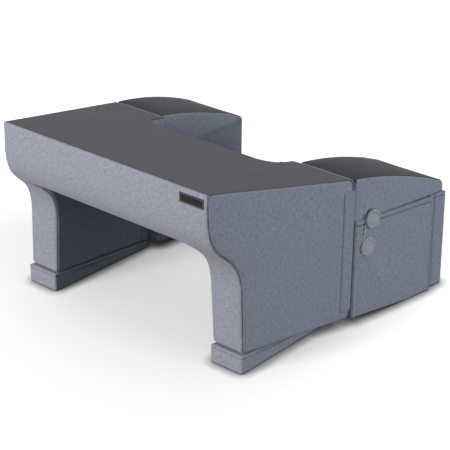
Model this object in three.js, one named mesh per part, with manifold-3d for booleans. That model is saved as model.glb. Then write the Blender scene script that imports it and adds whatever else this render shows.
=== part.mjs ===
// A foam lap desk in a fitted fabric cover: a bridge-shaped desk on two legs with wedge feet,
// and two armrest wings, each hung on a fabric hinge and carrying an outside pocket.
// Millimetres, +Z up, +Y towards the person who sits at the desk, symmetric about X = 0.
import * as THREE from "three";
import { mergeVertices } from "three/addons/utils/BufferGeometryUtils.js";
import Module from "manifold-3d";

const wasm = await Module();
wasm.setup();

// Cover
const SKIN = 2; // lined cover fabric
const CLEARANCE = 0.3; // between pieces that lie on each other

// Desk
const DESK_DEPTH = 370; // apron face to rear face, at LEAN_HEIGHT
const TOP_FRONT_HEIGHT = 399;
const TOP_FRONT_HALF_WIDTH = 274.5;
const TOP_PITCH = THREE.MathUtils.degToRad(11.8); // top falls towards the person
const SIDE_FLARE = THREE.MathUtils.degToRad(7.87); // sides open towards the person
const SIDE_DRAFT = THREE.MathUtils.degToRad(2); // sides open towards the floor
const BOARD_THICKNESS = 6; // stiffener under the top sheet
const BOARD_MARGIN = 12; // foam left round the stiffener
const HINGE_LEAN = THREE.MathUtils.degToRad(2.27); // rear faces and hinges lean towards the person
const LEAN_HEIGHT = 150; // where lengths from a leaning edge are measured

// Apron and legs
const LEG_SETBACK = 78; // leg face behind the apron face
const BEND_TOP_HEIGHT = 347; // where the apron starts to sweep back
const BEND_BOTTOM_HEIGHT = 167; // where the sweep meets the leg face
const BEND_OVERLAP = 20; // how far the sweep's two arms run past its middle
const BEND_STEPS = 14;
const BASE_FRONT_HEIGHT = 42; // underside of a leg at its front
const BASE_PITCH = THREE.MathUtils.degToRad(5); // undersides fall towards the person
const LEG_INSET = 55.5; // foot of the kneehole, in from the top's front corner
const KNEE_DRAFT = THREE.MathUtils.degToRad(3.2); // kneehole opens towards the floor
const KNEE_HEIGHT = 268.5; // kneehole ceiling, at the apron
const KNEE_CORNER_RADIUS = 30;
const BELLY_INSET = 2; // cut-out in the rear edge, in from the ceiling's seam
const BELLY_DEPTH = 58;
const BELLY_CORNER_RADIUS = 45;

// Wedge feet
const FOOT_WIDTH = 81;
const FOOT_REAR_MARGIN = 6; // in front of the desk's rear
const FOOT_PROUD = 6; // in front of the leg face
const FOOT_EDGE_RADIUS = 5;
const FASTENER_THICKNESS = 2; // closed hook-and-loop tape
const FOOT_TAPE_WIDTH = 40;
const FOOT_TAPE_END_MARGIN = 25;

// Wings
const HINGE_GAP = 3; // desk rear to wing front
const WING_LENGTH = 276;
const WING_INSET = 84.5; // wing's inner face, in from the top's front corner
const WING_FLARE = THREE.MathUtils.degToRad(6.4);
const WING_REAR_HEIGHT = 235;
const WING_CROWN = 10; // rise of the padded top over its chord
const WING_EDGE_RADIUS = 14; // rear top edge
const WING_FLAT_LENGTH = 128; // part of the base that stands on the floor
const CROWN_STEPS = 14;

// Hinge flaps
const FLAP_THICKNESS = 1.6;
const FLAP_OVERLAP = 27; // on the desk's side
const FLAP_TOP_MARGIN = 21; // below the desk's top
const FLAP_BOTTOM_MARGIN = 20; // above the leg's underside
const FLAP_TAPE_WIDTH = 20;
const FLAP_TAPE_END_MARGIN = 12;

// Pockets
const POCKET_SKIN = 1.8;
const POCKET_FRONT_HEIGHT = 229; // mouth, at the front seam
const POCKET_REAR_HEIGHT = 217;
const POCKET_BOTTOM_MARGIN = 1; // above the wing's base
const POCKET_FRONT_MARGIN = 4.4; // behind the wing's front edge
const PLEAT_SETBACK = 41; // from the pleat to the wing's rear edge
const MOUTH_FRONT = 0.8; // clear width of the mouth at the front seam
const MOUTH_PLEAT = 9; // at the pleat
const MOUTH_SIDE = 5.5; // behind the side strip
const BOTTOM_SHARE = 0.75; // of the panel's clear width is left at its bottom seam
const STRIP_BOTTOM_WIDTH = 1; // clear width behind the side strip at its bottom seam
const BASE_STRIP_WIDTH_LEAST = 2; // the base strip starts where the pocket is this wide
const HEM_WIDTH = 9;
const HEM_THICKNESS = 1.2;

// Pocket buttons
const BUTTON_DIAMETER = 41;
const BUTTON_HEIGHT = 7;
const BUTTON_EDGE = 2.2; // height of the rim below the dome
const BUTTON_SPACING = 58;
const BUTTON_UPPER_SETBACK = 49; // behind the wing's front edge
const BUTTON_LOWER_SETBACK = 39;
const BUTTON_UPPER_DROP = 2; // centre below the mouth
const STRAP_WIDTH = 4;
const STRAP_THICKNESS = 1.2;

// Label
const LABEL_WIDTH = 59;
const LABEL_HEIGHT = 20;
const LABEL_THICKNESS = 1;
const LABEL_SIDE_MARGIN = 9; // from the apron's end
const LABEL_TOP_MARGIN = 11; // from the top edge

const REACH = 2000; // longer than any piece, for cutting blocks

// Places along Y, with Y = 0 at the middle of the whole depth
const frontY = -(DESK_DEPTH + HINGE_GAP + WING_LENGTH) / 2;
const rearY = frontY + DESK_DEPTH;
const legFrontY = frontY + LEG_SETBACK;
const footFrontY = legFrontY - FOOT_PROUD;
const wingFrontY = rearY + HINGE_GAP;
const wingRearY = wingFrontY + WING_LENGTH;
const bellyY = rearY - BELLY_DEPTH;
const rearAt = (z) => rearY + Math.tan(HINGE_LEAN) * (z - LEAN_HEIGHT);
const wingFrontAt = (z) => rearAt(z) + HINGE_GAP;

// Places along X
const kneeHalfWidth = TOP_FRONT_HALF_WIDTH - LEG_INSET;
const wingInner = TOP_FRONT_HALF_WIDTH - WING_INSET;

// Surfaces that several pieces share
const topZ = (y) => TOP_FRONT_HEIGHT - Math.tan(TOP_PITCH) * (y - frontY);
const baseZ = (y) => BASE_FRONT_HEIGHT - Math.tan(BASE_PITCH) * (y - legFrontY);
const leanFall = Math.tan(TOP_PITCH) * Math.tan(HINGE_LEAN);
const rearTopZ = (topZ(rearY) + leanFall * LEAN_HEIGHT) / (1 + leanFall);
const sideX = (y, z) =>
  TOP_FRONT_HALF_WIDTH + Math.tan(SIDE_FLARE) * (y - frontY) + Math.tan(SIDE_DRAFT) * (TOP_FRONT_HEIGHT - z);
const wingX = (y, z) => sideX(rearY, z) + Math.tan(WING_FLARE) * (y - wingFrontY);
const wingBaseZ = (y) => {
  const ramp = (wingRearY - WING_FLAT_LENGTH - y) / (WING_LENGTH - WING_FLAT_LENGTH);
  return baseZ(wingFrontY) * Math.max(0, ramp);
};

const finish = (color, roughness) => new THREE.MeshStandardMaterial({ color, roughness, metalness: 0 });
const fabric = finish(0x7d8493, 0.95);
const leatherette = finish(0x4b4b51, 0.6);
const foam = finish(0xe9e2cf, 1);
const board = finish(0xb79a70, 0.8);
const tape = finish(0x24262b, 0.95);

// Solids from closed geometry, and back
function solid(geometry) {
  const loose = geometry.index ? geometry.toNonIndexed() : geometry;
  const bare = new THREE.BufferGeometry().setAttribute("position", loose.getAttribute("position"));
  const merged = mergeVertices(bare, 1e-4);
  const vertProperties = new Float32Array(merged.getAttribute("position").array);
  const triVerts = new Uint32Array(merged.index.array);
  return new wasm.Manifold(new wasm.Mesh({ numProp: 3, vertProperties, triVerts }));
}

function geometryOf(body) {
  const { vertProperties, triVerts } = body.getMesh();
  return new THREE.BufferGeometry()
    .setAttribute("position", new THREE.BufferAttribute(new Float32Array(vertProperties), 3))
    .setIndex(new THREE.BufferAttribute(new Uint32Array(triVerts), 1));
}

// Extrusions of an outline along one axis
function extrude(points, depth, axes, origin, options = {}) {
  const settings = { depth, bevelEnabled: false, curveSegments: 8, ...options };
  const place = new THREE.Matrix4().makeBasis(...axes).setPosition(origin);
  return new THREE.ExtrudeGeometry(new THREE.Shape(points), settings).applyMatrix4(place);
}

const X = new THREE.Vector3(1, 0, 0);
const Y = new THREE.Vector3(0, 1, 0);
const Z = new THREE.Vector3(0, 0, 1);
const point = (a, b) => new THREE.Vector2(a, b);

// (y, z) outline along X, (x, z) outline along Y and (x, y) outline along Z
const alongX = (points, x0, x1, options) =>
  extrude(points, x1 - x0, [Y, Z, X], new THREE.Vector3(x0, 0, 0), options);
const alongY = (points, y0, y1) =>
  extrude(points, y1 - y0, [X, Z, Y.clone().negate()], new THREE.Vector3(0, y1, 0));
const alongZ = (points, z0, z1) => extrude(points, z1 - z0, [X, Y, Z], new THREE.Vector3(0, 0, z0));

// Everything on the inner side of a plane moved inwards by depth
function halfSpace(origin, normal, depth) {
  const unit = normal.clone().normalize();
  const block = new THREE.BoxGeometry(REACH, REACH, REACH)
    .applyQuaternion(new THREE.Quaternion().setFromUnitVectors(Z, unit))
    .translate(...origin.clone().addScaledVector(unit, -depth - REACH / 2));
  return solid(block);
}

// A thin closed piece over a grid: inner(u, v) and outer(u, v) give its two faces
function sheet(inner, outer, us, vs) {
  const rows = us.length;
  const index = (layer, i, j) => layer * rows * vs.length + j * rows + i;
  const points = [inner, outer].flatMap((face) => vs.flatMap((v) => us.map((u) => face(u, v))));
  const faces = [];
  const quad = (a, b, c, d) => faces.push(a, b, c, a, c, d);
  for (let j = 0; j + 1 < vs.length; j++)
    for (let i = 0; i + 1 < rows; i++) {
      quad(index(1, i, j), index(1, i + 1, j), index(1, i + 1, j + 1), index(1, i, j + 1));
      quad(index(0, i, j), index(0, i, j + 1), index(0, i + 1, j + 1), index(0, i + 1, j));
    }
  const edge = (i0, j0, i1, j1) => quad(index(0, i0, j0), index(0, i1, j1), index(1, i1, j1), index(1, i0, j0));
  const last = { i: rows - 1, j: vs.length - 1 };
  for (let i = 0; i < last.i; i++) {
    edge(i, 0, i + 1, 0);
    edge(i + 1, last.j, i, last.j);
  }
  for (let j = 0; j < last.j; j++) {
    edge(last.i, j, last.i, j + 1);
    edge(0, j + 1, 0, j);
  }
  return new THREE.BufferGeometry().setFromPoints(points).setIndex(faces);
}

const steps = (from, to, count) => Array.from({ length: count + 1 }, (_, i) => from + ((to - from) * i) / count);

// Takes one cover panel off a body, and leaves the body smaller by the panel and a clearance.
// An inside block holds the body under a face; an outside block is a hollow cut into it.
const inside = (block) => ({
  over: (body, depth) => body.subtract(block(depth)),
  under: (body, depth) => body.intersect(block(depth)),
});
const outside = (block) => ({
  over: (body, depth) => body.intersect(block(depth)),
  under: (body, depth) => body.subtract(block(depth)),
});

function peel(body, face, thickness = SKIN) {
  return { panel: face.over(body, thickness), rest: face.under(body, thickness + CLEARANCE) };
}

// Desk: the front face sweeps from the apron back to the legs
function bendPoints(depth) {
  const middle = (BEND_TOP_HEIGHT + BEND_BOTTOM_HEIGHT) / 2;
  const bend = new THREE.CubicBezierCurve(
    point(frontY, BEND_TOP_HEIGHT),
    point(frontY, middle - BEND_OVERLAP),
    point(legFrontY, middle + BEND_OVERLAP),
    point(legFrontY, BEND_BOTTOM_HEIGHT),
  );
  return steps(0, 1, BEND_STEPS).map((t) => {
    const along = bend.getTangent(t);
    return bend.getPoint(t).add(point(-along.y, along.x).multiplyScalar(depth));
  });
}

function frontBlock(depth) {
  const bend = bendPoints(depth);
  const outline = [
    point(bend[0].x, REACH),
    ...bend,
    point(bend[BEND_STEPS].x, -REACH),
    point(REACH, -REACH),
    point(REACH, REACH),
  ];
  return solid(alongX(outline, -REACH, REACH));
}

const topNormal = new THREE.Vector3(0, Math.sin(TOP_PITCH), Math.cos(TOP_PITCH));
const topBlock = (depth) => halfSpace(new THREE.Vector3(0, frontY, TOP_FRONT_HEIGHT), topNormal, depth);

const baseNormal = new THREE.Vector3(0, -Math.sin(BASE_PITCH), -Math.cos(BASE_PITCH));
const baseBlock = (depth) => halfSpace(new THREE.Vector3(0, legFrontY, BASE_FRONT_HEIGHT), baseNormal, depth);

const rearNormal = new THREE.Vector3(0, Math.cos(HINGE_LEAN), -Math.sin(HINGE_LEAN));
const rearBlock = (depth) => halfSpace(new THREE.Vector3(0, rearY, LEAN_HEIGHT), rearNormal, depth);

const sideNormal = new THREE.Vector3(1, -Math.tan(SIDE_FLARE), Math.tan(SIDE_DRAFT));
const sideOrigin = new THREE.Vector3(TOP_FRONT_HALF_WIDTH, frontY, TOP_FRONT_HEIGHT);
const mirrorX = new THREE.Vector3(-1, 1, 1);
const sideBlock = (sign) => (depth) => {
  const flip = sign < 0 ? mirrorX : new THREE.Vector3(1, 1, 1);
  return halfSpace(sideOrigin.clone().multiply(flip), sideNormal.clone().multiply(flip), depth);
};

// The kneehole's section at the apron, grown by depth
function kneeSection(depth) {
  const foot = baseZ(frontY);
  const half = kneeHalfWidth + depth / Math.cos(KNEE_DRAFT);
  const radius = KNEE_CORNER_RADIUS + depth;
  const centreZ = KNEE_HEIGHT - KNEE_CORNER_RADIUS;
  const cheekX = (z) => half - Math.tan(KNEE_DRAFT) * (z - foot);
  const centreX = cheekX(centreZ) - radius / Math.cos(KNEE_DRAFT);
  return { radius, centreX, centreZ, cheekX };
}

// Its ceiling runs parallel to the legs' undersides
function kneeBlock(depth) {
  const { radius, centreX, centreZ, cheekX } = kneeSection(depth);
  const shape = new THREE.Shape();
  shape.moveTo(-cheekX(-REACH), -REACH);
  shape.lineTo(cheekX(-REACH), -REACH);
  shape.absarc(centreX, centreZ, radius, KNEE_DRAFT, Math.PI / 2);
  shape.absarc(-centreX, centreZ, radius, Math.PI / 2, Math.PI - KNEE_DRAFT);
  const slope = -Math.tan(BASE_PITCH);
  const shear = new THREE.Matrix4().set(1, 0, 0, 0, 0, 1, 0, 0, 0, slope, 1, -slope * frontY, 0, 0, 0, 1);
  return solid(alongY(shape.getPoints(8), -REACH, REACH).applyMatrix4(shear));
}

const kneeSeam = kneeSection(0).centreX; // where the cheek's corner meets the ceiling

function bellyBlock(depth) {
  const half = kneeSeam - BELLY_INSET + depth;
  const front = bellyY - depth;
  const radius = BELLY_CORNER_RADIUS + depth;
  const shape = new THREE.Shape();
  shape.moveTo(half, REACH);
  shape.lineTo(-half, REACH);
  shape.lineTo(-half, front + radius);
  shape.absarc(radius - half, front + radius, radius, Math.PI, 1.5 * Math.PI);
  shape.lineTo(half - radius, front);
  shape.absarc(half - radius, front + radius, radius, -Math.PI / 2, 0);
  return solid(alongZ(shape.getPoints(8), -REACH, REACH));
}

// Everything at least depth inside the desk's front, sides, rear and cut-out
const deskWithin = (depth) =>
  frontBlock(depth)
    .intersect(rearBlock(depth))
    .intersect(sideBlock(1)(depth))
    .intersect(sideBlock(-1)(depth))
    .subtract(bellyBlock(depth));

const rightSide = halfSpace(new THREE.Vector3(0, 0, 0), X.clone().negate(), 0);
const rightOf = (x) => halfSpace(new THREE.Vector3(x, 0, 0), X.clone().negate(), 0);
const leftOf = (x) => halfSpace(new THREE.Vector3(x, 0, 0), X, 0);

function deskPieces() {
  let rest = deskWithin(0).intersect(topBlock(0)).intersect(baseBlock(0)).subtract(kneeBlock(0));
  const take = (face, thickness) => {
    const cut = peel(rest, face, thickness);
    rest = cut.rest;
    return cut.panel;
  };
  const topSheet = take(inside(topBlock));
  const sidePanel = take(inside(sideBlock(1)));
  take(inside(sideBlock(-1)));
  const frontPanel = take(inside(frontBlock));
  const kneeLining = take(outside(kneeBlock));
  const rearPanel = take(outside(bellyBlock));
  const legRear = take(inside(rearBlock)).intersect(rightSide);
  const legBase = take(inside(baseBlock)).intersect(rightSide);

  // The stiffener lies flush in a recess of the foam
  const boardTop = SKIN + CLEARANCE;
  const boardSpace = (clear) =>
    deskWithin(boardTop + BOARD_MARGIN - clear).subtract(topBlock(boardTop + BOARD_THICKNESS + clear));
  const topBoard = boardSpace(0).intersect(topBlock(boardTop));
  rest = rest.subtract(boardSpace(CLEARANCE));

  const underside = kneeLining.intersect(leftOf(kneeSeam)).intersect(rightOf(-kneeSeam));
  const legInner = kneeLining.intersect(rightOf(kneeSeam + CLEARANCE));

  const legTop = (lower) => {
    const origin = new THREE.Vector3(0, frontY, KNEE_HEIGHT + SKIN + CLEARANCE - lower);
    return halfSpace(origin, baseNormal.clone().negate(), 0);
  };
  const legFoam = rest.intersect(legTop(CLEARANCE)).intersect(rightSide);
  const bridgeFoam = rest.subtract(legTop(0));
  return {
    middle: {
      top_sheet: [topSheet, leatherette],
      top_board: [topBoard, board],
      bridge_foam: [bridgeFoam, foam],
      front_panel: [frontPanel, fabric],
      underside_panel: [underside, fabric],
      rear_panel: [rearPanel, fabric],
    },
    handed: {
      side_panel: [sidePanel, fabric],
      leg_inner_panel: [legInner, fabric],
      leg_rear_panel: [legRear, fabric],
      leg_base_panel: [legBase, fabric],
      leg_foam: [legFoam, foam],
    },
  };
}

// Wedge foot under a leg, and the tape that holds it there
function footPieces() {
  const tapeTop = (y) => baseZ(y) - CLEARANCE;
  const footTop = (y) => tapeTop(y) - FASTENER_THICKNESS - CLEARANCE;
  const footRearY = rearY - FOOT_REAR_MARGIN;
  const footOuter = kneeHalfWidth + FOOT_WIDTH;
  const r = FOOT_EDGE_RADIUS;
  const outline = [
    point(footFrontY + r, r),
    point(footRearY - r, r),
    point(footRearY - r, footTop(footRearY) - r),
    point(footFrontY + r, footTop(footFrontY) - r),
  ];
  const bevel = { bevelEnabled: true, bevelSize: r, bevelThickness: r, bevelSegments: 4 };
  const foot = alongX(outline, kneeHalfWidth + r, footOuter - r, bevel);

  const middle = (kneeHalfWidth + footOuter) / 2;
  const tapeFront = legFrontY + FOOT_TAPE_END_MARGIN;
  const tapeRear = footRearY - FOOT_TAPE_END_MARGIN;
  const strip = [
    point(tapeFront, tapeTop(tapeFront) - FASTENER_THICKNESS),
    point(tapeRear, tapeTop(tapeRear) - FASTENER_THICKNESS),
    point(tapeRear, tapeTop(tapeRear)),
    point(tapeFront, tapeTop(tapeFront)),
  ];
  const footTape = alongX(strip, middle - FOOT_TAPE_WIDTH / 2, middle + FOOT_TAPE_WIDTH / 2);
  return { foot_wedge: [solid(foot), fabric], foot_fastener: [solid(footTape), tape] };
}

// Hinge flap from the desk's side, over its fastening tape, across the gap to the wing's front seam
function flapPieces() {
  const layer = (offset) => (y, z) => {
    const lean = rearAt(z) - rearY;
    return new THREE.Vector3(sideX(Math.min(y, rearY) + lean, z) + offset, y + lean, z);
  };
  const tapeIn = CLEARANCE;
  const tapeOut = tapeIn + FASTENER_THICKNESS;
  const flapIn = tapeOut + CLEARANCE;
  const flapFrontY = rearY - FLAP_OVERLAP;
  const flapRearY = wingFrontY - CLEARANCE;
  const bottom = baseZ(flapFrontY) + FLAP_BOTTOM_MARGIN;
  const top = rearTopZ - FLAP_TOP_MARGIN;
  const flapFace = (above) => (y, z) => layer((y > rearY ? -FLAP_THICKNESS : flapIn) + above)(y, z);
  const flap = sheet(flapFace(0), flapFace(FLAP_THICKNESS), [flapFrontY, rearY, flapRearY], [bottom, top]);

  const tapeMiddle = (flapFrontY + rearY) / 2;
  const tapeY = [tapeMiddle - FLAP_TAPE_WIDTH / 2, tapeMiddle + FLAP_TAPE_WIDTH / 2];
  const tapeZ = [bottom + FLAP_TAPE_END_MARGIN, top - FLAP_TAPE_END_MARGIN];
  const flapTape = sheet(layer(tapeIn), layer(tapeOut), tapeY, tapeZ);
  return { hinge_flap: [solid(flap), fabric], hinge_fastener: [solid(flapTape), tape] };
}

// Wing: crowned top, level rear base
function crownPoints(depth) {
  const rise = WING_CROWN * 2;
  const start = point(wingFrontAt(rearTopZ), rearTopZ);
  const end = point(wingRearY, WING_REAR_HEIGHT);
  const middle = start.clone().add(end).multiplyScalar(0.5).add(point(0, rise));
  const crown = new THREE.QuadraticBezierCurve(start, middle, end);
  return steps(0, 1, CROWN_STEPS).map((t) => {
    const along = crown.getTangent(t);
    return crown.getPoint(t).add(point(along.y, -along.x).multiplyScalar(depth));
  });
}

function crownBlock(depth) {
  const crown = crownPoints(depth);
  const first = crown[0];
  const last = crown[CROWN_STEPS];
  const outline = [
    point(-REACH, -REACH),
    point(REACH, -REACH),
    point(REACH, last.y),
    ...crown.toReversed(),
    point(-REACH, first.y),
  ];
  return solid(alongX(outline, -REACH, REACH));
}

// The wing's side view, with its rear top edge rounded off
function wingOutline() {
  const crown = crownPoints(0).filter((p) => p.x < wingRearY - WING_EDGE_RADIUS);
  const shape = new THREE.Shape();
  shape.moveTo(wingFrontAt(baseZ(wingFrontY)), baseZ(wingFrontY));
  shape.lineTo(wingRearY - WING_FLAT_LENGTH, 0);
  shape.lineTo(wingRearY, 0);
  shape.lineTo(wingRearY, WING_REAR_HEIGHT - WING_EDGE_RADIUS);
  const edge = crown.at(-1);
  shape.quadraticCurveTo(wingRearY, WING_REAR_HEIGHT, edge.x, edge.y);
  crown.toReversed().slice(1).forEach((p) => shape.lineTo(p.x, p.y));
  return shape.getPoints(4);
}

const wingSideNormal = new THREE.Vector3(1, -Math.tan(WING_FLARE), Math.tan(SIDE_DRAFT));
const wingSideOrigin = new THREE.Vector3(wingX(wingFrontY, 0), wingFrontY, 0);
const wingSideBlock = (depth) => halfSpace(wingSideOrigin, wingSideNormal, depth);
const wingInnerBlock = (depth) => halfSpace(new THREE.Vector3(wingInner, 0, 0), X.clone().negate(), depth);
const wingFrontOrigin = new THREE.Vector3(0, wingFrontY, LEAN_HEIGHT);
const wingFrontBlock = (depth) => halfSpace(wingFrontOrigin, rearNormal.clone().negate(), depth);
const wingRearBlock = (depth) => halfSpace(new THREE.Vector3(0, wingRearY, 0), Y, depth);

function wingBaseBlock(depth) {
  const flatY = wingRearY - WING_FLAT_LENGTH;
  const outline = [
    point(-REACH, baseZ(wingFrontY) + depth),
    point(wingFrontY, baseZ(wingFrontY) + depth),
    point(flatY, depth),
    point(REACH, depth),
    point(REACH, REACH),
    point(-REACH, REACH),
  ];
  return solid(alongX(outline, -REACH, REACH));
}

function wingPieces() {
  let rest = solid(alongX(wingOutline(), wingInner, REACH)).intersect(wingSideBlock(0));
  const take = (block) => {
    const cut = peel(rest, inside(block));
    rest = cut.rest;
    return cut.panel;
  };
  return {
    wing_top_sheet: [take(crownBlock), leatherette],
    wing_outer_panel: [take(wingSideBlock), fabric],
    wing_inner_panel: [take(wingInnerBlock), fabric],
    wing_front_panel: [take(wingFrontBlock), fabric],
    wing_rear_panel: [take(wingRearBlock), fabric],
    wing_base_panel: [take(wingBaseBlock), fabric],
    wing_foam: [rest, foam],
  };
}

// Pocket: sewn down at the front edge, open at the mouth, with a pleat and a side strip at the rear
const pocketFrontY = wingFrontY + POCKET_FRONT_MARGIN;
const pleatY = wingRearY - PLEAT_SETBACK;
const share = (y, from, to) => (y - from) / (to - from);
const mouthZ = (y) =>
  THREE.MathUtils.lerp(POCKET_FRONT_HEIGHT, POCKET_REAR_HEIGHT, share(y, pocketFrontY, wingRearY));
const pocketBottomZ = (y) => wingBaseZ(y) + POCKET_BOTTOM_MARGIN;

// Clear width inside the pocket: height 0 at the bottom seam, 1 at the mouth
const panelWidth = (y, height) =>
  THREE.MathUtils.lerp(MOUTH_FRONT, MOUTH_PLEAT, share(y, pocketFrontY, pleatY)) *
  THREE.MathUtils.lerp(BOTTOM_SHARE, 1, height);
const stripWidth = (y, height) => THREE.MathUtils.lerp(STRIP_BOTTOM_WIDTH, MOUTH_SIDE, height);

// A point on the pocket, off its inner face; the pocket leans with the wing's front edge
function pocketPoint(width, y, height, offset) {
  const z = THREE.MathUtils.lerp(pocketBottomZ(y), mouthZ(y), height);
  const lean = (rearAt(z) - rearY) * (1 - share(y, wingFrontY, wingRearY));
  return new THREE.Vector3(wingX(y + lean, z) + CLEARANCE + width(y, height) + offset, y + lean, z);
}

const pocketLayer = (width, from, thickness, ys, heights) =>
  sheet(
    (y, height) => pocketPoint(width, y, height, from),
    (y, height) => pocketPoint(width, y, height, from + thickness),
    ys,
    heights,
  );

function pocketPieces() {
  const panelYs = steps(pocketFrontY, pleatY, 10);
  const stripYs = steps(pleatY + CLEARANCE, wingRearY, 2);
  const heights = steps(0, 1, 4);
  const panel = pocketLayer(panelWidth, 0, POCKET_SKIN, panelYs, heights);
  const strip = pocketLayer(stripWidth, 0, POCKET_SKIN, stripYs, heights);

  const hemIn = POCKET_SKIN + CLEARANCE;
  const hemHeight = 1 - HEM_WIDTH / (POCKET_REAR_HEIGHT - POCKET_BOTTOM_MARGIN);
  const hem = pocketLayer(panelWidth, hemIn, HEM_THICKNESS, panelYs, [hemHeight, 1]);

  // Gusset across the rear end, and a strip along the bottom
  const wallAt = (width, y, height) => {
    const at = pocketPoint(width, y, height, 0);
    return at.setX(wingX(at.y, at.z) + CLEARANCE);
  };
  const gusset = sheet(
    (y, height) => wallAt(stripWidth, y, height),
    (y, height) => pocketPoint(stripWidth, y, height, -CLEARANCE),
    [wingRearY - POCKET_SKIN, wingRearY],
    heights,
  );
  const baseShare = share(BASE_STRIP_WIDTH_LEAST, MOUTH_FRONT, MOUTH_PLEAT);
  const baseYs = steps(THREE.MathUtils.lerp(pocketFrontY, pleatY, baseShare), pleatY, 6);
  const across = (y, side) => (side ? pocketPoint(panelWidth, y, 0, -CLEARANCE) : wallAt(panelWidth, y, 0));
  const base = sheet((y, side) => across(y, side).add(new THREE.Vector3(0, 0, POCKET_SKIN)), across, baseYs, [0, 1]);
  return {
    pocket_panel: [solid(panel), fabric],
    pocket_side_strip: [solid(strip), fabric],
    pocket_hem: [solid(hem), fabric],
    pocket_gusset: [solid(gusset), fabric],
    pocket_base_strip: [solid(base), fabric],
    ...buttonPieces(hemIn + HEM_THICKNESS),
  };
}

// Covered buttons on the pocket, and the strap sewn between them
function buttonPieces(hemFace) {
  const r = BUTTON_DIAMETER / 2;
  const profile = [
    point(0, 0),
    point(r - 1, 0),
    point(r, BUTTON_EDGE / 2),
    ...steps(0, 4, 4).map((i) => {
      const turn = ((i + 0.5) / 5) * (Math.PI / 2);
      const dome = BUTTON_HEIGHT - BUTTON_EDGE;
      return point(r * Math.cos(turn), BUTTON_EDGE + dome * Math.sin(turn));
    }),
    point(0, BUTTON_HEIGHT),
  ];
  const faceAt = (y, z, offset) => pocketPoint(panelWidth, y, share(z, pocketBottomZ(y), mouthZ(y)), offset);
  const normalAt = (y, z) => {
    const along = faceAt(y + 1, z, 0).sub(faceAt(y - 1, z, 0));
    const up = faceAt(y, z, 0).sub(faceAt(y, z - 1, 0));
    return along.cross(up).normalize();
  };
  const button = (y, z, offset) => {
    const normal = normalAt(y, z);
    const seat = faceAt(y, z, offset).addScaledVector(normal, CLEARANCE);
    const turn = new THREE.Quaternion().setFromUnitVectors(Y, normal);
    return solid(new THREE.LatheGeometry(profile, 24).applyQuaternion(turn).translate(...seat));
  };
  const upperY = wingFrontY + BUTTON_UPPER_SETBACK;
  const upperZ = mouthZ(upperY) - BUTTON_UPPER_DROP;
  const lowerY = wingFrontY + BUTTON_LOWER_SETBACK;
  const lowerZ = upperZ - BUTTON_SPACING;

  const strapY = (upperY + lowerY) / 2 - r / 2;
  const half = (y) => Math.sqrt(r * r - (strapY - y) ** 2);
  const strapZ = [lowerZ + half(lowerY) + CLEARANCE, upperZ - half(upperY) - CLEARANCE];
  const strap = sheet(
    (y, z) => faceAt(y, z, POCKET_SKIN + CLEARANCE),
    (y, z) => faceAt(y, z, POCKET_SKIN + CLEARANCE + STRAP_THICKNESS),
    [strapY - STRAP_WIDTH / 2, strapY + STRAP_WIDTH / 2],
    strapZ,
  );
  return {
    pocket_button_upper: [button(upperY, upperZ, hemFace), fabric],
    pocket_button_lower: [button(lowerY, lowerZ, POCKET_SKIN), fabric],
    pocket_strap: [solid(strap), fabric],
  };
}

// Blank woven label at the apron's right end
function labelPieces() {
  const right = TOP_FRONT_HALF_WIDTH - LABEL_SIDE_MARGIN;
  const top = TOP_FRONT_HEIGHT - LABEL_TOP_MARGIN;
  const face = frontY - CLEARANCE;
  const label = alongY(
    [
      point(right - LABEL_WIDTH, top - LABEL_HEIGHT),
      point(right, top - LABEL_HEIGHT),
      point(right, top),
      point(right - LABEL_WIDTH, top),
    ],
    face - LABEL_THICKNESS,
    face,
  );
  return { label: [solid(label), tape] };
}

const desk = new THREE.Group();
const right = new THREE.Group();
const left = new THREE.Group();
left.scale.x = -1;
desk.add(right, left);

function addPieces(group, pieces, suffix = "") {
  for (const [name, [body, material]] of Object.entries(pieces)) {
    const mesh = new THREE.Mesh(geometryOf(body), material);
    mesh.name = name + suffix;
    group.add(mesh);
  }
}

const { middle, handed } = deskPieces();
addPieces(desk, { ...middle, ...labelPieces() });
const pairs = { ...handed, ...footPieces(), ...flapPieces(), ...wingPieces(), ...pocketPieces() };
addPieces(right, pairs, "_right");
addPieces(left, pairs, "_left");

export default desk;
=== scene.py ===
"""Dresses a foam lap desk over its frame: sewn cover panels, padded armrest wings, pockets and wedge feet.

Metres, +Z up, +Y towards the person who sits at the desk. Right-hand pieces are made first and mirrored in X.
"""
import math

import bmesh
import bpy
import numpy as np
from mathutils import Euler, Matrix, Vector


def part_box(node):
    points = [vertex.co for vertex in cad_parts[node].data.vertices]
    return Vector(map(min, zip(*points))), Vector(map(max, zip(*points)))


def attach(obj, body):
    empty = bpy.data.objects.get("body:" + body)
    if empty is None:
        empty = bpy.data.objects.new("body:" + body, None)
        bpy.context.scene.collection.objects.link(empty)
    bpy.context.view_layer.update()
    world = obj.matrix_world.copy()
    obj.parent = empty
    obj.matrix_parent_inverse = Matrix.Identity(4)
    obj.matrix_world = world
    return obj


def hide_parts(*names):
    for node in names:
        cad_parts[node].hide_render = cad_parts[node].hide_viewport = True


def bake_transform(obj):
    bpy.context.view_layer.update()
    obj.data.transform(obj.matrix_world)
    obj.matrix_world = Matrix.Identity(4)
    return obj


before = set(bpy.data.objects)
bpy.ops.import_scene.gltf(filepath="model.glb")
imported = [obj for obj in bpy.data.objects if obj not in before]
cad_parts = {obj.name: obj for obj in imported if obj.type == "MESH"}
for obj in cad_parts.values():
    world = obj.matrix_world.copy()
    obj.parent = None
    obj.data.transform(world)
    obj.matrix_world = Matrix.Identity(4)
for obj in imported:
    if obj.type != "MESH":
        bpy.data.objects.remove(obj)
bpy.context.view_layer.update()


def low(node):
    return np.array(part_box(node)[0])


def high(node):
    return np.array(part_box(node)[1])


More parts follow.
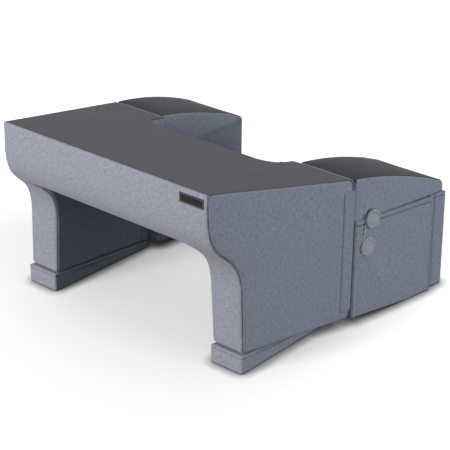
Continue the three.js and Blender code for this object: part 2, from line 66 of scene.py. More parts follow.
# Desk
SKIN = 0.002  # the frame's cover thickness
DESK_DEPTH = 0.370  # at LEAN_Z
TOP_FRONT_HALF_WIDTH = 0.2745
TOP_PITCH = math.radians(11.8)
SIDE_FLARE = math.radians(7.87)
SIDE_DRAFT = math.radians(2)
HINGE_LEAN = math.radians(2.27)
LEAN_Z = 0.150
HINGE_GAP = 0.003
FRONT_Y = low("front_panel")[1]
REAR_Y = FRONT_Y + DESK_DEPTH
TOP_Z = high("top_sheet")[2]
LEG_FRONT_Y = high("front_panel")[1] - SKIN
BEND_TOP_Z = 0.347
BEND_BOTTOM_Z = 0.167
BEND_OVERLAP = 0.020
BASE_FRONT_Z = 0.042
BASE_PITCH = math.radians(5)
KNEE_HALF = low("foot_wedge_right")[0]
KNEE_DRAFT = math.radians(3.2)
KNEE_Z = 0.2685
KNEE_RADIUS = 0.030
BELLY_HALF = high("rear_panel")[0] - SKIN
BELLY_Y = low("rear_panel")[1] + SKIN
BELLY_RADIUS = 0.045

# Wings
WING_FRONT_Y = REAR_Y + HINGE_GAP
WING_PADDING = 0.008  # how far the padding swells the wings' rear ends
WING_REAR_Y = high("wing_rear_panel_right")[1] + WING_PADDING
WING_LENGTH = WING_REAR_Y - WING_FRONT_Y
WING_INNER = low("wing_inner_panel_right")[0]
WING_FLARE = math.radians(6.4)
WING_REAR_Z = 0.237
WING_CROWN = 0.010
WING_FLAT_LENGTH = 0.128

# Sewing
EDGE_RADIUS = 0.0062  # rolled edges of desk and wings
HINGE_RADIUS = 0.0035  # the two edges that meet at a hinge
NOTCH_RADIUS = 0.009  # hinge edges at the top, above the flap
WING_REAR_RADIUS = 0.010
FOOT_RADIUS = 0.0045
SEAM = 0.0028  # depth of the seams that show as dark lines, which also sets the painted shade in them
PLAIN_SEAM = 0.0012
SOFT_SEAM = 0.0004  # where leatherette and fabric meet flush
GROOVE_WIDTH = 0.0022
PUCKER, PUCKER_LENGTH = 0.35, 0.03  # how much a seam's depth wanders, and over what length
SWELL_REACH = 0.05  # from a panel's edge to where it has swollen
WAVE_LENGTH, WAVE_REACH = 0.09, 0.02  # of the slight waves in a panel, and from its edge to where they start
STEEPEST = 1.55  # lean over a rolled edge, in radians
TUCK = 0.004  # seam allowance turned inwards
CLOTH_THICKNESS = 0.0012
FINE = 0.0014  # mesh spacing along rolled edges
COARSE = 0.0065  # and between them

RIGHT = np.array([1.0, 1.0, 1.0])
LEFT = np.array([-1.0, 1.0, 1.0])
SIDES = {"right": RIGHT, "left": LEFT}


def put(thing, **values):
    """Sets a thing's properties."""
    for name, value in values.items():
        setattr(thing, name, value)
    return thing


def add_object(name, data):
    made = bpy.data.objects.new(name, data)
    bpy.context.scene.collection.objects.link(made)
    return made


# Small vector helpers
def unit(v):
    return v / np.maximum(np.linalg.norm(v, axis=-1, keepdims=True), 1e-12)


def mix(a, b, t):
    return a + (b - a) * t


def smooth(t):
    t = np.clip(t, 0, 1)
    return t * t * (3 - 2 * t)


def stack(x, y, z):
    return np.stack(np.broadcast_arrays(x, y, z), -1).astype(float)


def slope(curve, at, step):
    return (curve(at + step) - curve(at - step)) / (2 * step)


def crossed(us, vs):
    return np.meshgrid(us, vs, indexing="ij")


def stations(length, zone=0.011, fine=FINE, coarse=COARSE, lines=()):
    """Places from 0 to 1 along a length, closer together near both ends and near sewn lines."""
    edge = np.arange(0, zone, fine)
    count = max(2, round((length - 2 * zone) / coarse) + 1)
    middle = np.linspace(zone, length - zone, count)
    for line in lines:
        middle = middle[np.abs(middle - line) > 5 * fine]
        middle = np.sort(np.concatenate([middle, line + np.arange(-4, 5) * fine]))
    places = np.sort(np.concatenate([edge, middle, length - edge]))
    apart = np.diff(places) > 0.4 * fine
    return places[np.concatenate([[True], apart])] / length


def travel(line):
    """The length along a line from its start to each of its points."""
    return np.concatenate([[0], np.cumsum(np.linalg.norm(np.diff(line, axis=0), axis=1))])


def sampled(line, values, at):
    """Values given at a line's points, for lengths along the line."""
    return np.stack([np.interp(at, travel(line), column) for column in values.T], -1)


def along(line, t):
    """Points at shares t of a line's length."""
    return sampled(line, line, t * travel(line)[-1])


def arc(centre, radius, start, stop, count=24):
    turn = np.radians(np.linspace(start, stop, count))
    return np.stack([centre[0] + radius * np.cos(turn), centre[1] + radius * np.sin(turn)], -1)


def oblong(start, stop):
    """The closed line round an oblong, between two of its corners, as its two coordinates."""
    (a0, b0), (a1, b1) = start, stop
    return np.array([a0, a1, a1, a0, a0]), np.array([b0, b0, b1, b1, b0])


def both_sides(half, middle):
    """A line in two dimensions from one half's start, over the middle, and back along the mirrored half."""
    return np.concatenate([half, middle, (half * [-1, 1])[::-1]])


WAVES = unit(np.random.default_rng(11).normal(size=(9, 3)))
WAVE_PITCH = np.random.default_rng(12).uniform(0.6, 1.7, 9)
WAVE_PHASE = np.random.default_rng(13).uniform(0, 2 * math.pi, 9)


def ripple(points, length):
    """Smooth wandering values around 0, of about that wavelength."""
    turns = points @ (WAVES * WAVE_PITCH[:, None]).T * (2 * math.pi / length)
    return np.sin(turns + WAVE_PHASE).mean(-1) * 2


# Surfaces that the panels share
def top_z(y):
    return TOP_Z - math.tan(TOP_PITCH) * (y - FRONT_Y)


def base_z(y):
    return BASE_FRONT_Z - math.tan(BASE_PITCH) * (y - LEG_FRONT_Y)


def side_x(y, z):
    return TOP_FRONT_HALF_WIDTH + math.tan(SIDE_FLARE) * (y - FRONT_Y) + math.tan(SIDE_DRAFT) * (TOP_Z - z)


def rear_y(z):
    return REAR_Y + math.tan(HINGE_LEAN) * (z - LEAN_Z)


def wing_front_y(z):
    return rear_y(z) + HINGE_GAP


def at_rear(height, pitch):
    """The height at which a surface meets the leaning rear face, from its height at REAR_Y and its fall."""
    fall = math.tan(pitch) * math.tan(HINGE_LEAN)
    return (height + fall * LEAN_Z) / (1 + fall)


REAR_TOP_Z = at_rear(top_z(REAR_Y), TOP_PITCH)
REAR_TOP_Y = rear_y(REAR_TOP_Z)
REAR_BASE_Z = at_rear(base_z(REAR_Y), BASE_PITCH)
REAR_BASE_Y = rear_y(REAR_BASE_Z)
WING_TOP_FRONT_Y = wing_front_y(REAR_TOP_Z)
WING_BASE_FRONT_Z = base_z(WING_FRONT_Y)
WING_BASE_FRONT_Y = wing_front_y(WING_BASE_FRONT_Z)
WING_FLAT_Y = WING_REAR_Y - WING_FLAT_LENGTH


def wing_x(y, z):
    return side_x(REAR_Y, z) + math.tan(WING_FLARE) * (y - WING_FRONT_Y)


def wing_inner_x(y, z):
    return np.full(y.shape, WING_INNER)


def wing_base_z(y):
    return WING_BASE_FRONT_Z * np.maximum(0, (WING_FLAT_Y - y) / (WING_FLAT_Y - WING_BASE_FRONT_Y))


def wing_base_normal(y):
    ramp = WING_BASE_FRONT_Z / (WING_FLAT_Y - WING_BASE_FRONT_Y)
    return unit(stack(0.0, -np.where(y < WING_FLAT_Y, ramp, 0.0), -1.0))


def wing_top_z(y):
    t = (y - WING_TOP_FRONT_Y) / (WING_REAR_Y - WING_TOP_FRONT_Y)
    return mix(REAR_TOP_Z, WING_REAR_Z, t) + 4 * WING_CROWN * t * (1 - t)


def wing_top_normal(y):
    return unit(stack(0.0, -slope(wing_top_z, y, 0.001), 1.0))


BEND = np.linspace(0, 1, 200)
BEND_Y = mix(FRONT_Y, LEG_FRONT_Y, BEND**2 * (3 - 2 * BEND))
BEND_MIDDLE_Z = (BEND_TOP_Z + BEND_BOTTOM_Z) / 2
BEND_Z = (
    (1 - BEND) ** 3 * BEND_TOP_Z
    + 3 * BEND * (1 - BEND) ** 2 * (BEND_MIDDLE_Z - BEND_OVERLAP)
    + 3 * BEND**2 * (1 - BEND) * (BEND_MIDDLE_Z + BEND_OVERLAP)
    + BEND**3 * BEND_BOTTOM_Z
)


def front_at(z):
    """How far back the swept front face is at a height."""
    return np.interp(z, BEND_Z[::-1], BEND_Y[::-1])


def front_normal(z):
    return unit(stack(0.0, -1.0, slope(front_at, z, 0.0015)))


FRONT_PROFILE_Z = np.linspace(0, TOP_Z, 800)
FRONT_PROFILE_REACH = travel(np.stack([FRONT_PROFILE_Z, front_at(FRONT_PROFILE_Z)], -1))


def front_weave(points):
    """The front's weave runs level, and up the length of its cloth."""
    return np.stack([points[..., 0], np.interp(points[..., 2], FRONT_PROFILE_Z, FRONT_PROFILE_REACH)], -1)


N_TOP = np.array([0, math.sin(TOP_PITCH), math.cos(TOP_PITCH)])
N_BASE = np.array([0, -math.sin(BASE_PITCH), -math.cos(BASE_PITCH)])
N_SIDE = unit(np.array([1, -math.tan(SIDE_FLARE), math.tan(SIDE_DRAFT)]))
N_WING_SIDE = unit(np.array([1, -math.tan(WING_FLARE), math.tan(SIDE_DRAFT)]))
N_FRONT = np.array([0.0, -1.0, 0.0])
N_REAR = np.array([0.0, math.cos(HINGE_LEAN), -math.sin(HINGE_LEAN)])
N_WING_REAR = np.array([0.0, 1.0, 0.0])
N_INNER = np.array([-1.0, 0.0, 0.0])
N_DOWN = np.array([0.0, 0.0, -1.0])
N_UP = np.array([0.0, 0.0, 1.0])

# Half of the kneehole's section, up the right cheek and over to the middle: x, height at the apron
KNEE_FOOT_Z = base_z(FRONT_Y)
KNEE_CENTRE_Z = KNEE_Z - KNEE_RADIUS
KNEE_CENTRE_X = (
    KNEE_HALF - math.tan(KNEE_DRAFT) * (KNEE_CENTRE_Z - KNEE_FOOT_Z) - KNEE_RADIUS / math.cos(KNEE_DRAFT)
)
KNEE_CENTRE = (KNEE_CENTRE_X, KNEE_CENTRE_Z)
KNEE_CHEEK = np.concatenate(
    [[[KNEE_HALF, KNEE_FOOT_Z]], arc(KNEE_CENTRE, KNEE_RADIUS, math.degrees(KNEE_DRAFT), 90)]
)
KNEE_LINE = along(np.concatenate([KNEE_CHEEK, [[0.0, KNEE_Z]]]), np.linspace(0, 1, 400))


def knee_height(section_z, y):
    return section_z - math.tan(BASE_PITCH) * (y - FRONT_Y)


def knee_normal(section):
    """Out of the foam and into the kneehole, for section points of the right half."""
    away = section - np.array(KNEE_CENTRE)
    turn = np.clip(np.arctan2(away[..., 1], away[..., 0]), KNEE_DRAFT, math.pi / 2)
    x, z = -np.cos(turn), -np.sin(turn)
    return unit(stack(x, math.tan(BASE_PITCH) * z, z))


def knee_on_front(section):
    """Where a section line meets the swept front face."""
    z = section[..., 1]
    for _ in range(30):
        z = knee_height(section[..., 1], front_at(z))
    return stack(section[..., 0], front_at(z), z)


KNEE_BEND_X = KNEE_CENTRE_X + KNEE_RADIUS * math.cos(math.pi / 4)
KNEE_BEND = int(np.argmin(np.abs(KNEE_LINE[:, 0] - KNEE_BEND_X)))  # halfway round the corner
KNEE_CORNER = knee_on_front(KNEE_LINE[KNEE_BEND])
SLACK = 0.018  # how far the left corner of the kneehole gapes
SLACK_SIZE = (0.030, 0.030, 0.024)  # and how far round it the cloth follows


def knee_slack(points):
    """Lets the left corner of the kneehole gape a little towards the side, as the slack cloth there does."""
    near = np.exp(-(((points - KNEE_CORNER * LEFT) / SLACK_SIZE) ** 2).sum(-1))
    return points - (SLACK * near)[..., None] * [1, 0, 0]


# The belly cut-out, from its left end to its right end: x, y
BELLY_CENTRE = (BELLY_HALF - BELLY_RADIUS, BELLY_Y + BELLY_RADIUS)
BELLY_RIGHT = np.concatenate([arc(BELLY_CENTRE, BELLY_RADIUS, -90, 0), [[BELLY_HALF, REAR_TOP_Y]]])
BELLY_LINE = np.concatenate([BELLY_RIGHT[::-1] * [-1, 1], BELLY_RIGHT])
BELLY_LENGTH = travel(BELLY_LINE)[-1]


def belly_normal(line):
    x = np.clip(np.abs(line[..., 0]) - BELLY_CENTRE[0], 0, None) * -np.sign(line[..., 0])
    y = np.clip(BELLY_CENTRE[1] - line[..., 1], 0, None)
    return unit(stack(x, y, 0.0))


# Sewn panels
def border(line, beyond, share=0.5, groove=PLAIN_SEAM, radius=EDGE_RADIUS):
    """An edge: its line, the next panel's normals, its share of the roll, its seam's depth, which also sets
    the painted shade along it, and its radius.
    """
    beyond = np.broadcast_to(beyond, line.shape)
    radius, groove = np.broadcast_to(radius, len(line)), np.broadcast_to(groove, len(line))
    return {"line": line, "beyond": beyond, "share": share, "groove": groove, "radius": radius}


def framed(points, *edges):
    """Borders on a grid's first and last row, then column; an edge is a normal, or border's arguments."""
    lines = points[0], points[-1], points[:, 0], points[:, -1]
    return [border(line, *(e if isinstance(e, tuple) else (e,))) for line, e in zip(lines, edges)]


def nearest(points, edge):
    """Each point's nearest place on a border, the normal, radius and groove there, and the gap to it."""
    start = edge["line"][:-1]
    step = edge["line"][1:] - start
    size = np.maximum((step**2).sum(-1), 1e-18)
    t = ((points[:, None] - start[None]) * step[None]).sum(-1) / size[None]
    t = np.clip(t, 0, 1)
    gaps = np.linalg.norm(start[None] + t[..., None] * step[None] - points[:, None], axis=-1)
    pick = gaps.argmin(1)
    rows = np.arange(len(points))
    part = t[rows, pick][:, None]
    beyond, radius, groove = (
        mix(edge[k][pick], edge[k][pick + 1], part if edge[k].ndim > 1 else part[:, 0])
        for k in ("beyond", "radius", "groove")
    )
    return start[pick] + part * step[pick], unit(beyond), radius, groove, gaps[rows, pick]


def sew(points, normals, borders, bulge=0.0012, wave=0.0004, creases=()):
    """Rolls a flat panel over its edges, sinks its seams and creases and swells it a little between them; the
    groove values it returns are painted shade, from how deep seams and creases sink the cloth.
    """
    shape = points.shape
    flat = points.reshape(-1, 3)
    normal = np.broadcast_to(normals, shape).reshape(-1, 3)
    centre = flat.copy()
    lean = normal.copy()
    radius = np.full(len(flat), np.inf)
    dip = np.zeros(len(flat))
    clear = np.full(len(flat), 1.0)
    for edge in borders:
        place, beyond, roll, seam, gap = nearest(flat, edge)
        cosine = np.clip((normal * beyond).sum(-1), -1, 1)
        turn = np.arccos(cosine)
        out = unit(beyond - cosine[:, None] * normal)
        inset = roll * np.tan(turn / 2)
        depth = np.clip(-((flat - place) * out).sum(-1), 0, None)
        rolled = (gap < inset) & (depth < inset)
        share = edge["share"] * turn
        angle = np.where(rolled, share * (1 - depth / np.maximum(inset, 1e-9)), 0)
        centre -= np.where(rolled, inset - depth, 0)[:, None] * out
        lean += np.tan(np.minimum(angle, STEEPEST))[:, None] * out
        radius = np.where(rolled, np.minimum(radius, roll), radius)
        reach = roll * (share - angle) + np.where(rolled, 0, gap - inset)
        pucker = 1 + PUCKER * ripple(place, PUCKER_LENGTH)
        dip += seam * pucker * np.exp(-np.maximum(reach, 0) / GROOVE_WIDTH)
        clear = np.minimum(clear, gap)
    for line, depth, width in creases:
        gap = nearest(flat, border(line, N_TOP))[-1]
        dip += depth * np.exp(-((gap / width) ** 2))
    lean = unit(lean)
    radius = np.where(np.isinf(radius), EDGE_RADIUS, radius)
    # painted shade for seams and creases, from how deep they sink the cloth
    groove = np.clip(dip / SEAM, 0, 1)
    swell = bulge * (1 - np.exp(-clear / SWELL_REACH))
    swell += wave * ripple(flat, WAVE_LENGTH) * (1 - np.exp(-clear / WAVE_REACH))
    sewn = centre - radius[:, None] * normal + lean * (radius + swell - dip)[:, None]
    sewn[:, 2] = np.maximum(sewn[:, 2], 0)
    return sewn.reshape(shape), lean.reshape(shape), groove.reshape(shape[:2])


def tucked(points, lean):
    return points - TUCK * lean


def pushed_in(depth):
    """A move towards the wing or the desk's side, for a rim."""
    return lambda points, lean: points - [depth, 0, 0]


def with_rim(points, lean, groove, move=tucked):
    """The grid with one more ring of points round it, put where move says."""
    rim = np.pad(np.zeros(points.shape[:2], bool), 1, constant_values=True)
    points, lean = (np.pad(a, ((1, 1), (1, 1), (0, 0)), mode="edge") for a in (points, lean))
    return np.where(rim[..., None], move(points, lean), points), lean, np.pad(groove, 1, mode="edge")


def lengths(points, axis):
    steps = np.linalg.norm(np.diff(points, axis=axis), axis=-1).mean(1 - axis)
    return np.concatenate([[0], np.cumsum(steps)])


def sheet_data(points, lean, groove, weave=None):
    """A grid's vertices, quads, UVs in metres and groove values, the painted shade of its seams; weave gives
    UVs that don't follow it.
    """
    rows, columns = points.shape[:2]
    index = np.arange(rows * columns).reshape(rows, columns)
    quads = np.stack([index[:-1, :-1], index[1:, :-1], index[1:, 1:], index[:-1, 1:]], -1).reshape(-1, 4)
    i, j = rows // 2, columns // 2
    face = np.cross(points[i + 1, j] - points[i, j], points[i, j + 1] - points[i, j])
    if face @ lean[i, j] < 0:
        quads = quads[:, ::-1]
    if weave is None:
        v, u = crossed(lengths(points, 0), lengths(points, 1))
        uvs = np.stack([u, v], -1)
    else:
        uvs = weave(points)
    return points.reshape(-1, 3), quads, uvs.reshape(-1, 2), groove.ravel()


def mirrored(part, flip):
    vertices, quads, uvs, painted_shades = part
    return vertices * flip, quads if flip[0] > 0 else quads[:, ::-1], uvs, painted_shades


def mesh_object(name, parts, material):
    """One mesh object from (vertices, quads, uvs, painted shade) parts; the painted shade of seams and
    creases goes into its groove attribute.
    """
    vertices, _, uvs, painted_shades = (np.concatenate([p[k] for p in parts]) for k in range(4))
    starts = np.cumsum([0] + [len(p[0]) for p in parts[:-1]])
    faces = np.concatenate([p[1] + s for p, s in zip(parts, starts)])
    mesh = bpy.data.meshes.new(name)
    mesh.from_pydata(vertices.tolist(), [], faces.tolist())
    layer = mesh.uv_layers.new(name="weave")
    corner = np.zeros(len(mesh.loops), np.int32)
    mesh.loops.foreach_get("vertex_index", corner)
    layer.uv.foreach_set("vector", uvs[corner].astype(np.float32).ravel())
    # the groove attribute: painted shade in seams and creases
    sunk = mesh.attributes.new("groove", "FLOAT", "POINT")
    sunk.data.foreach_set("value", painted_shades.astype(np.float32))
    mesh.polygons.foreach_set("use_smooth", np.ones(len(mesh.polygons), bool))
    mesh.materials.append(material)
    mesh.update()
    return add_object(name, mesh)


def reworked(piece, work):
    """A piece after work on its mesh."""
    mesh = bmesh.new()
    mesh.from_mesh(piece.data)
    work(mesh)
    mesh.to_mesh(piece.data)
    mesh.free()
    return piece


def bake_modifiers(piece):
    """Turns a piece's modifiers into its mesh."""
    bpy.context.view_layer.update()
    graph = bpy.context.evaluated_depsgraph_get()
    made = bpy.data.meshes.new_from_object(piece.evaluated_get(graph), depsgraph=graph)
    piece.modifiers.clear()
    old = piece.data
    piece.data = made
    bpy.data.meshes.remove(old)
    return piece


def sheet(name, grid, material, weave=None):
    """A thin sheet of cloth: the grid given a cloth's thickness."""
    piece = mesh_object(name, [sheet_data(*grid, weave)], material)
    put(piece.modifiers.new("thickness", "SOLIDIFY"), thickness=CLOTH_THICKNESS, offset=-1)
    bake_modifiers(piece)
    return piece


def dress(piece, body, slot, *nodes):
    """Puts a finished piece on its body in place of its frame nodes."""
    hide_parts(*nodes)
    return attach(piece, body)


def cloth(name, body, grid, material, slot, nodes, flip=RIGHT, weave=None):
    """A sheet of cloth on its body, in place of frame nodes."""
    points, lean, groove = grid
    points, lean = points * flip, lean * flip
    if body == "desk":
        points = knee_slack(points)
    return dress(sheet(name, (points, lean, groove), material, weave), body, slot, *nodes)


def cover(name, body, grid, material, slot="cover_fabric", flip=RIGHT, weave=None):
    """A sewn cover panel in place of the frame node of the same name."""
    return cloth("cover_" + name, body, grid, material, slot, [name], flip, weave)


# Cloth simulation
SIM_SPACING = 0.006
SIM_FRAMES = 18
SIM_STIFFNESS = 40


def spot(places, at):
    k = np.clip(np.searchsorted(places, at) - 1, 0, len(places) - 2)
    return k, (at - places[k]) / (places[k + 1] - places[k])


def resample(grid, us, vs, new_us, new_vs):
    """A grid's values at new places along its two axes."""
    k, t = spot(us, new_us)
    rows = mix(grid[k], grid[k + 1], t[:, None, None])
    k, t = spot(vs, new_vs)
    return mix(rows[:, k], rows[:, k + 1], t[None, :, None])


def puffed(points, lean, reach, pressure=4.0, gravity=0.0):
    """A sewn panel blown out by a cloth simulation, held round its edge, by no more than reach."""
    spans = [lengths(points, k) for k in (0, 1)]
    us, vs = (span / span[-1] for span in spans)
    even = [np.linspace(0, 1, max(10, round(span[-1] / SIM_SPACING))) for span in spans]
    start = resample(points, us, vs, *even)
    out = unit(resample(lean, us, vs, *even))
    held = np.ones(start.shape[:2], bool)
    held[1:-1, 1:-1] = False
    trial = mesh_object("trial", [sheet_data(start, out, np.zeros(held.shape))], FABRIC)
    group = trial.vertex_groups.new(name="sewn")
    group.add(np.flatnonzero(held).tolist(), 1.0, "REPLACE")
    blow = trial.modifiers.new("cloth", "CLOTH")
    put(blow.settings, quality=5, tension_stiffness=SIM_STIFFNESS, compression_stiffness=SIM_STIFFNESS)
    put(blow.settings, vertex_group_mass="sewn", use_pressure=True, uniform_pressure_force=pressure)
    blow.settings.effector_weights.gravity = gravity
    blow.collision_settings.use_collision = False
    blow.point_cache.frame_end = SIM_FRAMES
    scene = bpy.context.scene
    for step in range(1, SIM_FRAMES + 1):
        scene.frame_set(step)
    shaped = trial.evaluated_get(bpy.context.evaluated_depsgraph_get()).data
    end = np.zeros(start.size)
    shaped.vertices.foreach_get("co", end)
    scene.frame_set(1)
    bpy.data.objects.remove(trial, do_unlink=True)
    rise = ((end.reshape(start.shape) - start) * out).sum(-1)
    rise = rise * min(1, reach / max(rise.max(), 1e-9))
    return points + resample(rise[..., None], *even, us, vs) * lean


def sewn_grid(panel, puff=0.0, swell=None, **shape):
    """A cover panel's grid: rolled at its edges, puffed out and tucked in round its rim."""
    points, lean, groove = sew(*panel, **shape)
    if swell:
        points = swell(points, lean)
    if puff:
        points = puffed(points, lean, puff)
    return with_rim(points, lean, groove)


# Stitches
STITCH_LENGTH = 0.003
STITCH_PITCH = 0.0043
THREAD_RADIUS = 0.0004
STITCH_SIDES = 6
STITCH_SHARES = np.array([-0.5, -0.35, 0.0, 0.35, 0.5])  # places along a stitch
STITCH_GIRTHS = np.array([0.4, 0.9, 1.0, 0.9, 0.4])  # how thick it is there
STITCH_SINK = 0.8


def line_on(grid, axis, inset):
    """A line on a grid that far in from one end of an axis, or from its other end where inset is negative."""
    points, lean = (np.moveaxis(a, axis, 0) for a in grid[:2])
    if inset < 0:
        points, lean = points[::-1], lean[::-1]
    steps = np.linalg.norm(np.diff(points, axis=0), axis=-1)
    reach = np.concatenate([np.zeros((1, points.shape[1])), np.cumsum(steps, 0)])
    k = np.argmax(reach > abs(inset), 0) - 1
    rows = np.arange(points.shape[1])
    t = ((abs(inset) - reach[k, rows]) / (reach[k + 1, rows] - reach[k, rows]))[:, None]
    return mix(points[k, rows], points[k + 1, rows], t), unit(mix(lean[k, rows], lean[k + 1, rows], t))


def stitch_data(line, out):
    """A row of thread stitches along a line on a surface that faces out."""
    length = travel(line)[-1]
    count = int(length // STITCH_PITCH)
    rings = len(STITCH_SHARES)
    middle = (np.arange(count) + 0.5) * length / count
    at = (middle[:, None] + STITCH_SHARES * STITCH_LENGTH).ravel()
    place = sampled(line, line, at).reshape(count, rings, 3)
    up = unit(sampled(line, np.broadcast_to(out, line.shape), at)).reshape(count, rings, 3)
    run = unit(place[:, -1:] - place[:, :1])
    across = unit(np.cross(up, run))
    sunk = place + up * ((STITCH_GIRTHS - STITCH_SINK) * THREAD_RADIUS)[None, :, None]
    turn = np.linspace(0, 2 * math.pi, STITCH_SIDES, endpoint=False)
    ring = np.cos(turn)[:, None] * across[:, :, None] + np.sin(turn)[:, None] * up[:, :, None]
    vertices = sunk[:, :, None] + ring * (STITCH_GIRTHS * THREAD_RADIUS)[None, :, None, None]
    index = np.arange(count * rings * STITCH_SIDES).reshape(count, rings, STITCH_SIDES)
    ahead = np.roll(index, -1, 2)
    quads = np.stack([index[:, :-1], ahead[:, :-1], ahead[:, 1:], index[:, 1:]], -1).reshape(-1, 4)
    flat = vertices.reshape(-1, 3)
    return flat, quads, flat[:, 1:], np.zeros(len(flat))


def stitches(name, body, lines, flip=RIGHT):
    """Rows of stitches as one piece; lines are (points, normals) pairs."""
    parts = [mirrored(stitch_data(line, out), flip) for line, out in lines]
    return dress(mesh_object(name, parts, THREAD), body, "cover_fabric")


# Desk panels: points, normals and borders
TOP_SHARE = 0.22  # of the top's front edge belongs to the leatherette, the rest to the fabric wrapped over it
REAR_TOP_SHARE = 0.42  # the same at the two edges over a hinge
LEATHER_SHARE = 0.35  # and at the other edges of top and wings
KNEE_SHARE = 0.7  # of the kneehole's front edge belongs to the front panel
S_SHARE = 0.45  # of the edge at the S seam belongs to the side panel
TO_TOP = (N_TOP, 1 - REAR_TOP_SHARE, SOFT_SEAM)
CORNER_RADIUS = 0.016  # of the S seam where it meets the top
SEAM_FADE = 1.3  # radii below the top where that seam begins to fade
CREASE_Z = 0.2655  # where the front's mesh divides between legs and apron, and a fold runs
FOLD_POINTS = 24
FOLD_LENGTH = 0.65  # of the way from the kneehole's corner to the desk's side
# The fold's points from the corner, depth and width: it starts wide and deep, and its depth paints shade into
# it
KNEE_FOLD = [
    (24, 0.0014, 0.0012), (19, 0.0014, 0.0022), (14, 0.002, 0.0034), (9, 0.002, 0.0046), (5, 0.002, 0.006),
]
CHEEK_SEAM = 0.034  # upright seam on a kneehole cheek, in front of the desk's rear
FLAP_OVERLAP = 0.027  # hinge flap on the desk's side
FLAP_BOTTOM_Z, FLAP_TOP_Z = low("hinge_flap_right")[2], high("hinge_flap_right")[2]
SLIT_WIDTH = 0.001
BED_RISE = 0.0027  # swelling of the desk's side round a hinge flap
BED_WIDTH = 0.060  # ahead of the flap
BED_END = 0.017  # above and below it
BED_EASE = 0.012  # towards the desk's rear edge
BED_STEP = 0.002  # down under the flap
HINGE_BAND = 0.040  # part of a side panel whose mesh runs parallel to the hinge

# About how long the panels' edges are, for their meshes
SIDE_RUN, SIDE_RISE, SIDE_ZONE = 0.330, 0.340, 0.018
FRONT_LEG, FRONT_WIDTH, FRONT_COARSE = 0.25, 0.1, 0.004
CHEEK_RISE, LEG_RUN, LEG_WIDTH = 0.24, 0.29, 0.1
UNDERSIDE_RUN, REAR_RISE = 0.3, 0.09
LEG_REAR_RISE, LEG_REAR_WIDTH = 0.35, 0.12
WING_RISE, WING_WIDTH = 0.28, 0.15


def top_panel():
    half = side_x(REAR_TOP_Y, REAR_TOP_Z)
    edge = stations(half - BELLY_HALF)
    n = len(edge)
    left = np.stack([mix(-half, -BELLY_HALF, edge), np.full(n, REAR_TOP_Y)], -1)
    rear = both_sides(left, along(BELLY_LINE, stations(BELLY_LENGTH)[1:-1]))
    across = travel(rear)
    front_x = mix(-TOP_FRONT_HALF_WIDTH, TOP_FRONT_HALF_WIDTH, across / across[-1])
    q = stations(REAR_TOP_Y - FRONT_Y)[None]
    y = mix(FRONT_Y, rear[:, 1:], q)
    points = stack(mix(front_x[:, None], rear[:, :1], q), y, top_z(y))
    belly = points[n - 1 : -n + 1, -1]
    borders = [
        border(points[:, 0], N_FRONT, TOP_SHARE, SOFT_SEAM),
        border(points[0], N_SIDE * LEFT, LEATHER_SHARE, SOFT_SEAM),
        border(points[-1], N_SIDE, LEATHER_SHARE, SOFT_SEAM),
        border(points[:n, -1], N_REAR, REAR_TOP_SHARE, SOFT_SEAM),
        border(belly, belly_normal(belly), REAR_TOP_SHARE, SOFT_SEAM),
        border(points[-n:, -1], N_REAR, REAR_TOP_SHARE, SOFT_SEAM),
    ]
    return points, N_TOP, borders


def seam_depth(line):
    """The S seam's depth, which fades where the seam leaves the edge for the rounded corner."""
    return mix(SEAM, SOFT_SEAM, smooth((line[:, 2] - TOP_Z + SEAM_FADE * CORNER_RADIUS) / CORNER_RADIUS))


def corner_seam():
    """The rounded corner of the S seam, on the desk's side."""
    bend = arc((FRONT_Y + CORNER_RADIUS, TOP_Z - CORNER_RADIUS), CORNER_RADIUS, start=180, stop=100)
    z = bend[:, 1] - math.tan(TOP_PITCH) * (bend[:, 0] - FRONT_Y)
    return stack(side_x(bend[:, 0], z), bend[:, 0], z)


def at_hinge(line, beyond, groove=PLAIN_SEAM):
    """A hinge edge, with a deeper seam and a wider roll at the notch left open above the hinge flap."""
    above = np.clip((line[:, 2] - FLAP_TOP_Z) / (REAR_TOP_Z - FLAP_TOP_Z), 0, 1)
    return beyond, 0.5, mix(groove, SEAM, above), mix(HINGE_RADIUS, NOTCH_RADIUS, above)


def side_panel():
    u = stations(SIDE_RUN, SIDE_ZONE, lines=(SIDE_RUN - FLAP_OVERLAP,))
    v = stations(SIDE_RISE, SIDE_ZONE, lines=(FLAP_BOTTOM_Z - REAR_BASE_Z,))
    front_z = mix(BASE_FRONT_Z, TOP_Z, v)
    rear_z = mix(REAR_BASE_Z, REAR_TOP_Z, v)
    full = rear_y(rear_z) - front_at(front_z)
    inset = ((1 - u) * SIDE_RUN)[:, None]
    stretch = (full - HINGE_BAND) / (SIDE_RUN - HINGE_BAND)
    inset = np.where(inset < HINGE_BAND, inset, HINGE_BAND + (inset - HINGE_BAND) * stretch)
    y = rear_y(rear_z) - inset
    z = mix(rear_z, front_z, inset / full)
    points = stack(side_x(y, z), y, z)
    front = (front_normal(points[0, :, 2]), S_SHARE, seam_depth(points[0]))
    top = (N_TOP, 1 - LEATHER_SHARE, SOFT_SEAM)
    return points, N_SIDE, framed(points, front, at_hinge(points[-1], N_REAR), N_BASE, top)


def slit_line():
    """The line on the desk's side round the free edges of the hinge flap: front edge and bottom edge."""
    z = np.array([FLAP_TOP_Z, FLAP_BOTTOM_Z, FLAP_BOTTOM_Z])
    y = rear_y(z) - [FLAP_OVERLAP + SLIT_WIDTH, FLAP_OVERLAP + SLIT_WIDTH, 0]
    return stack(side_x(y, z), y, z)


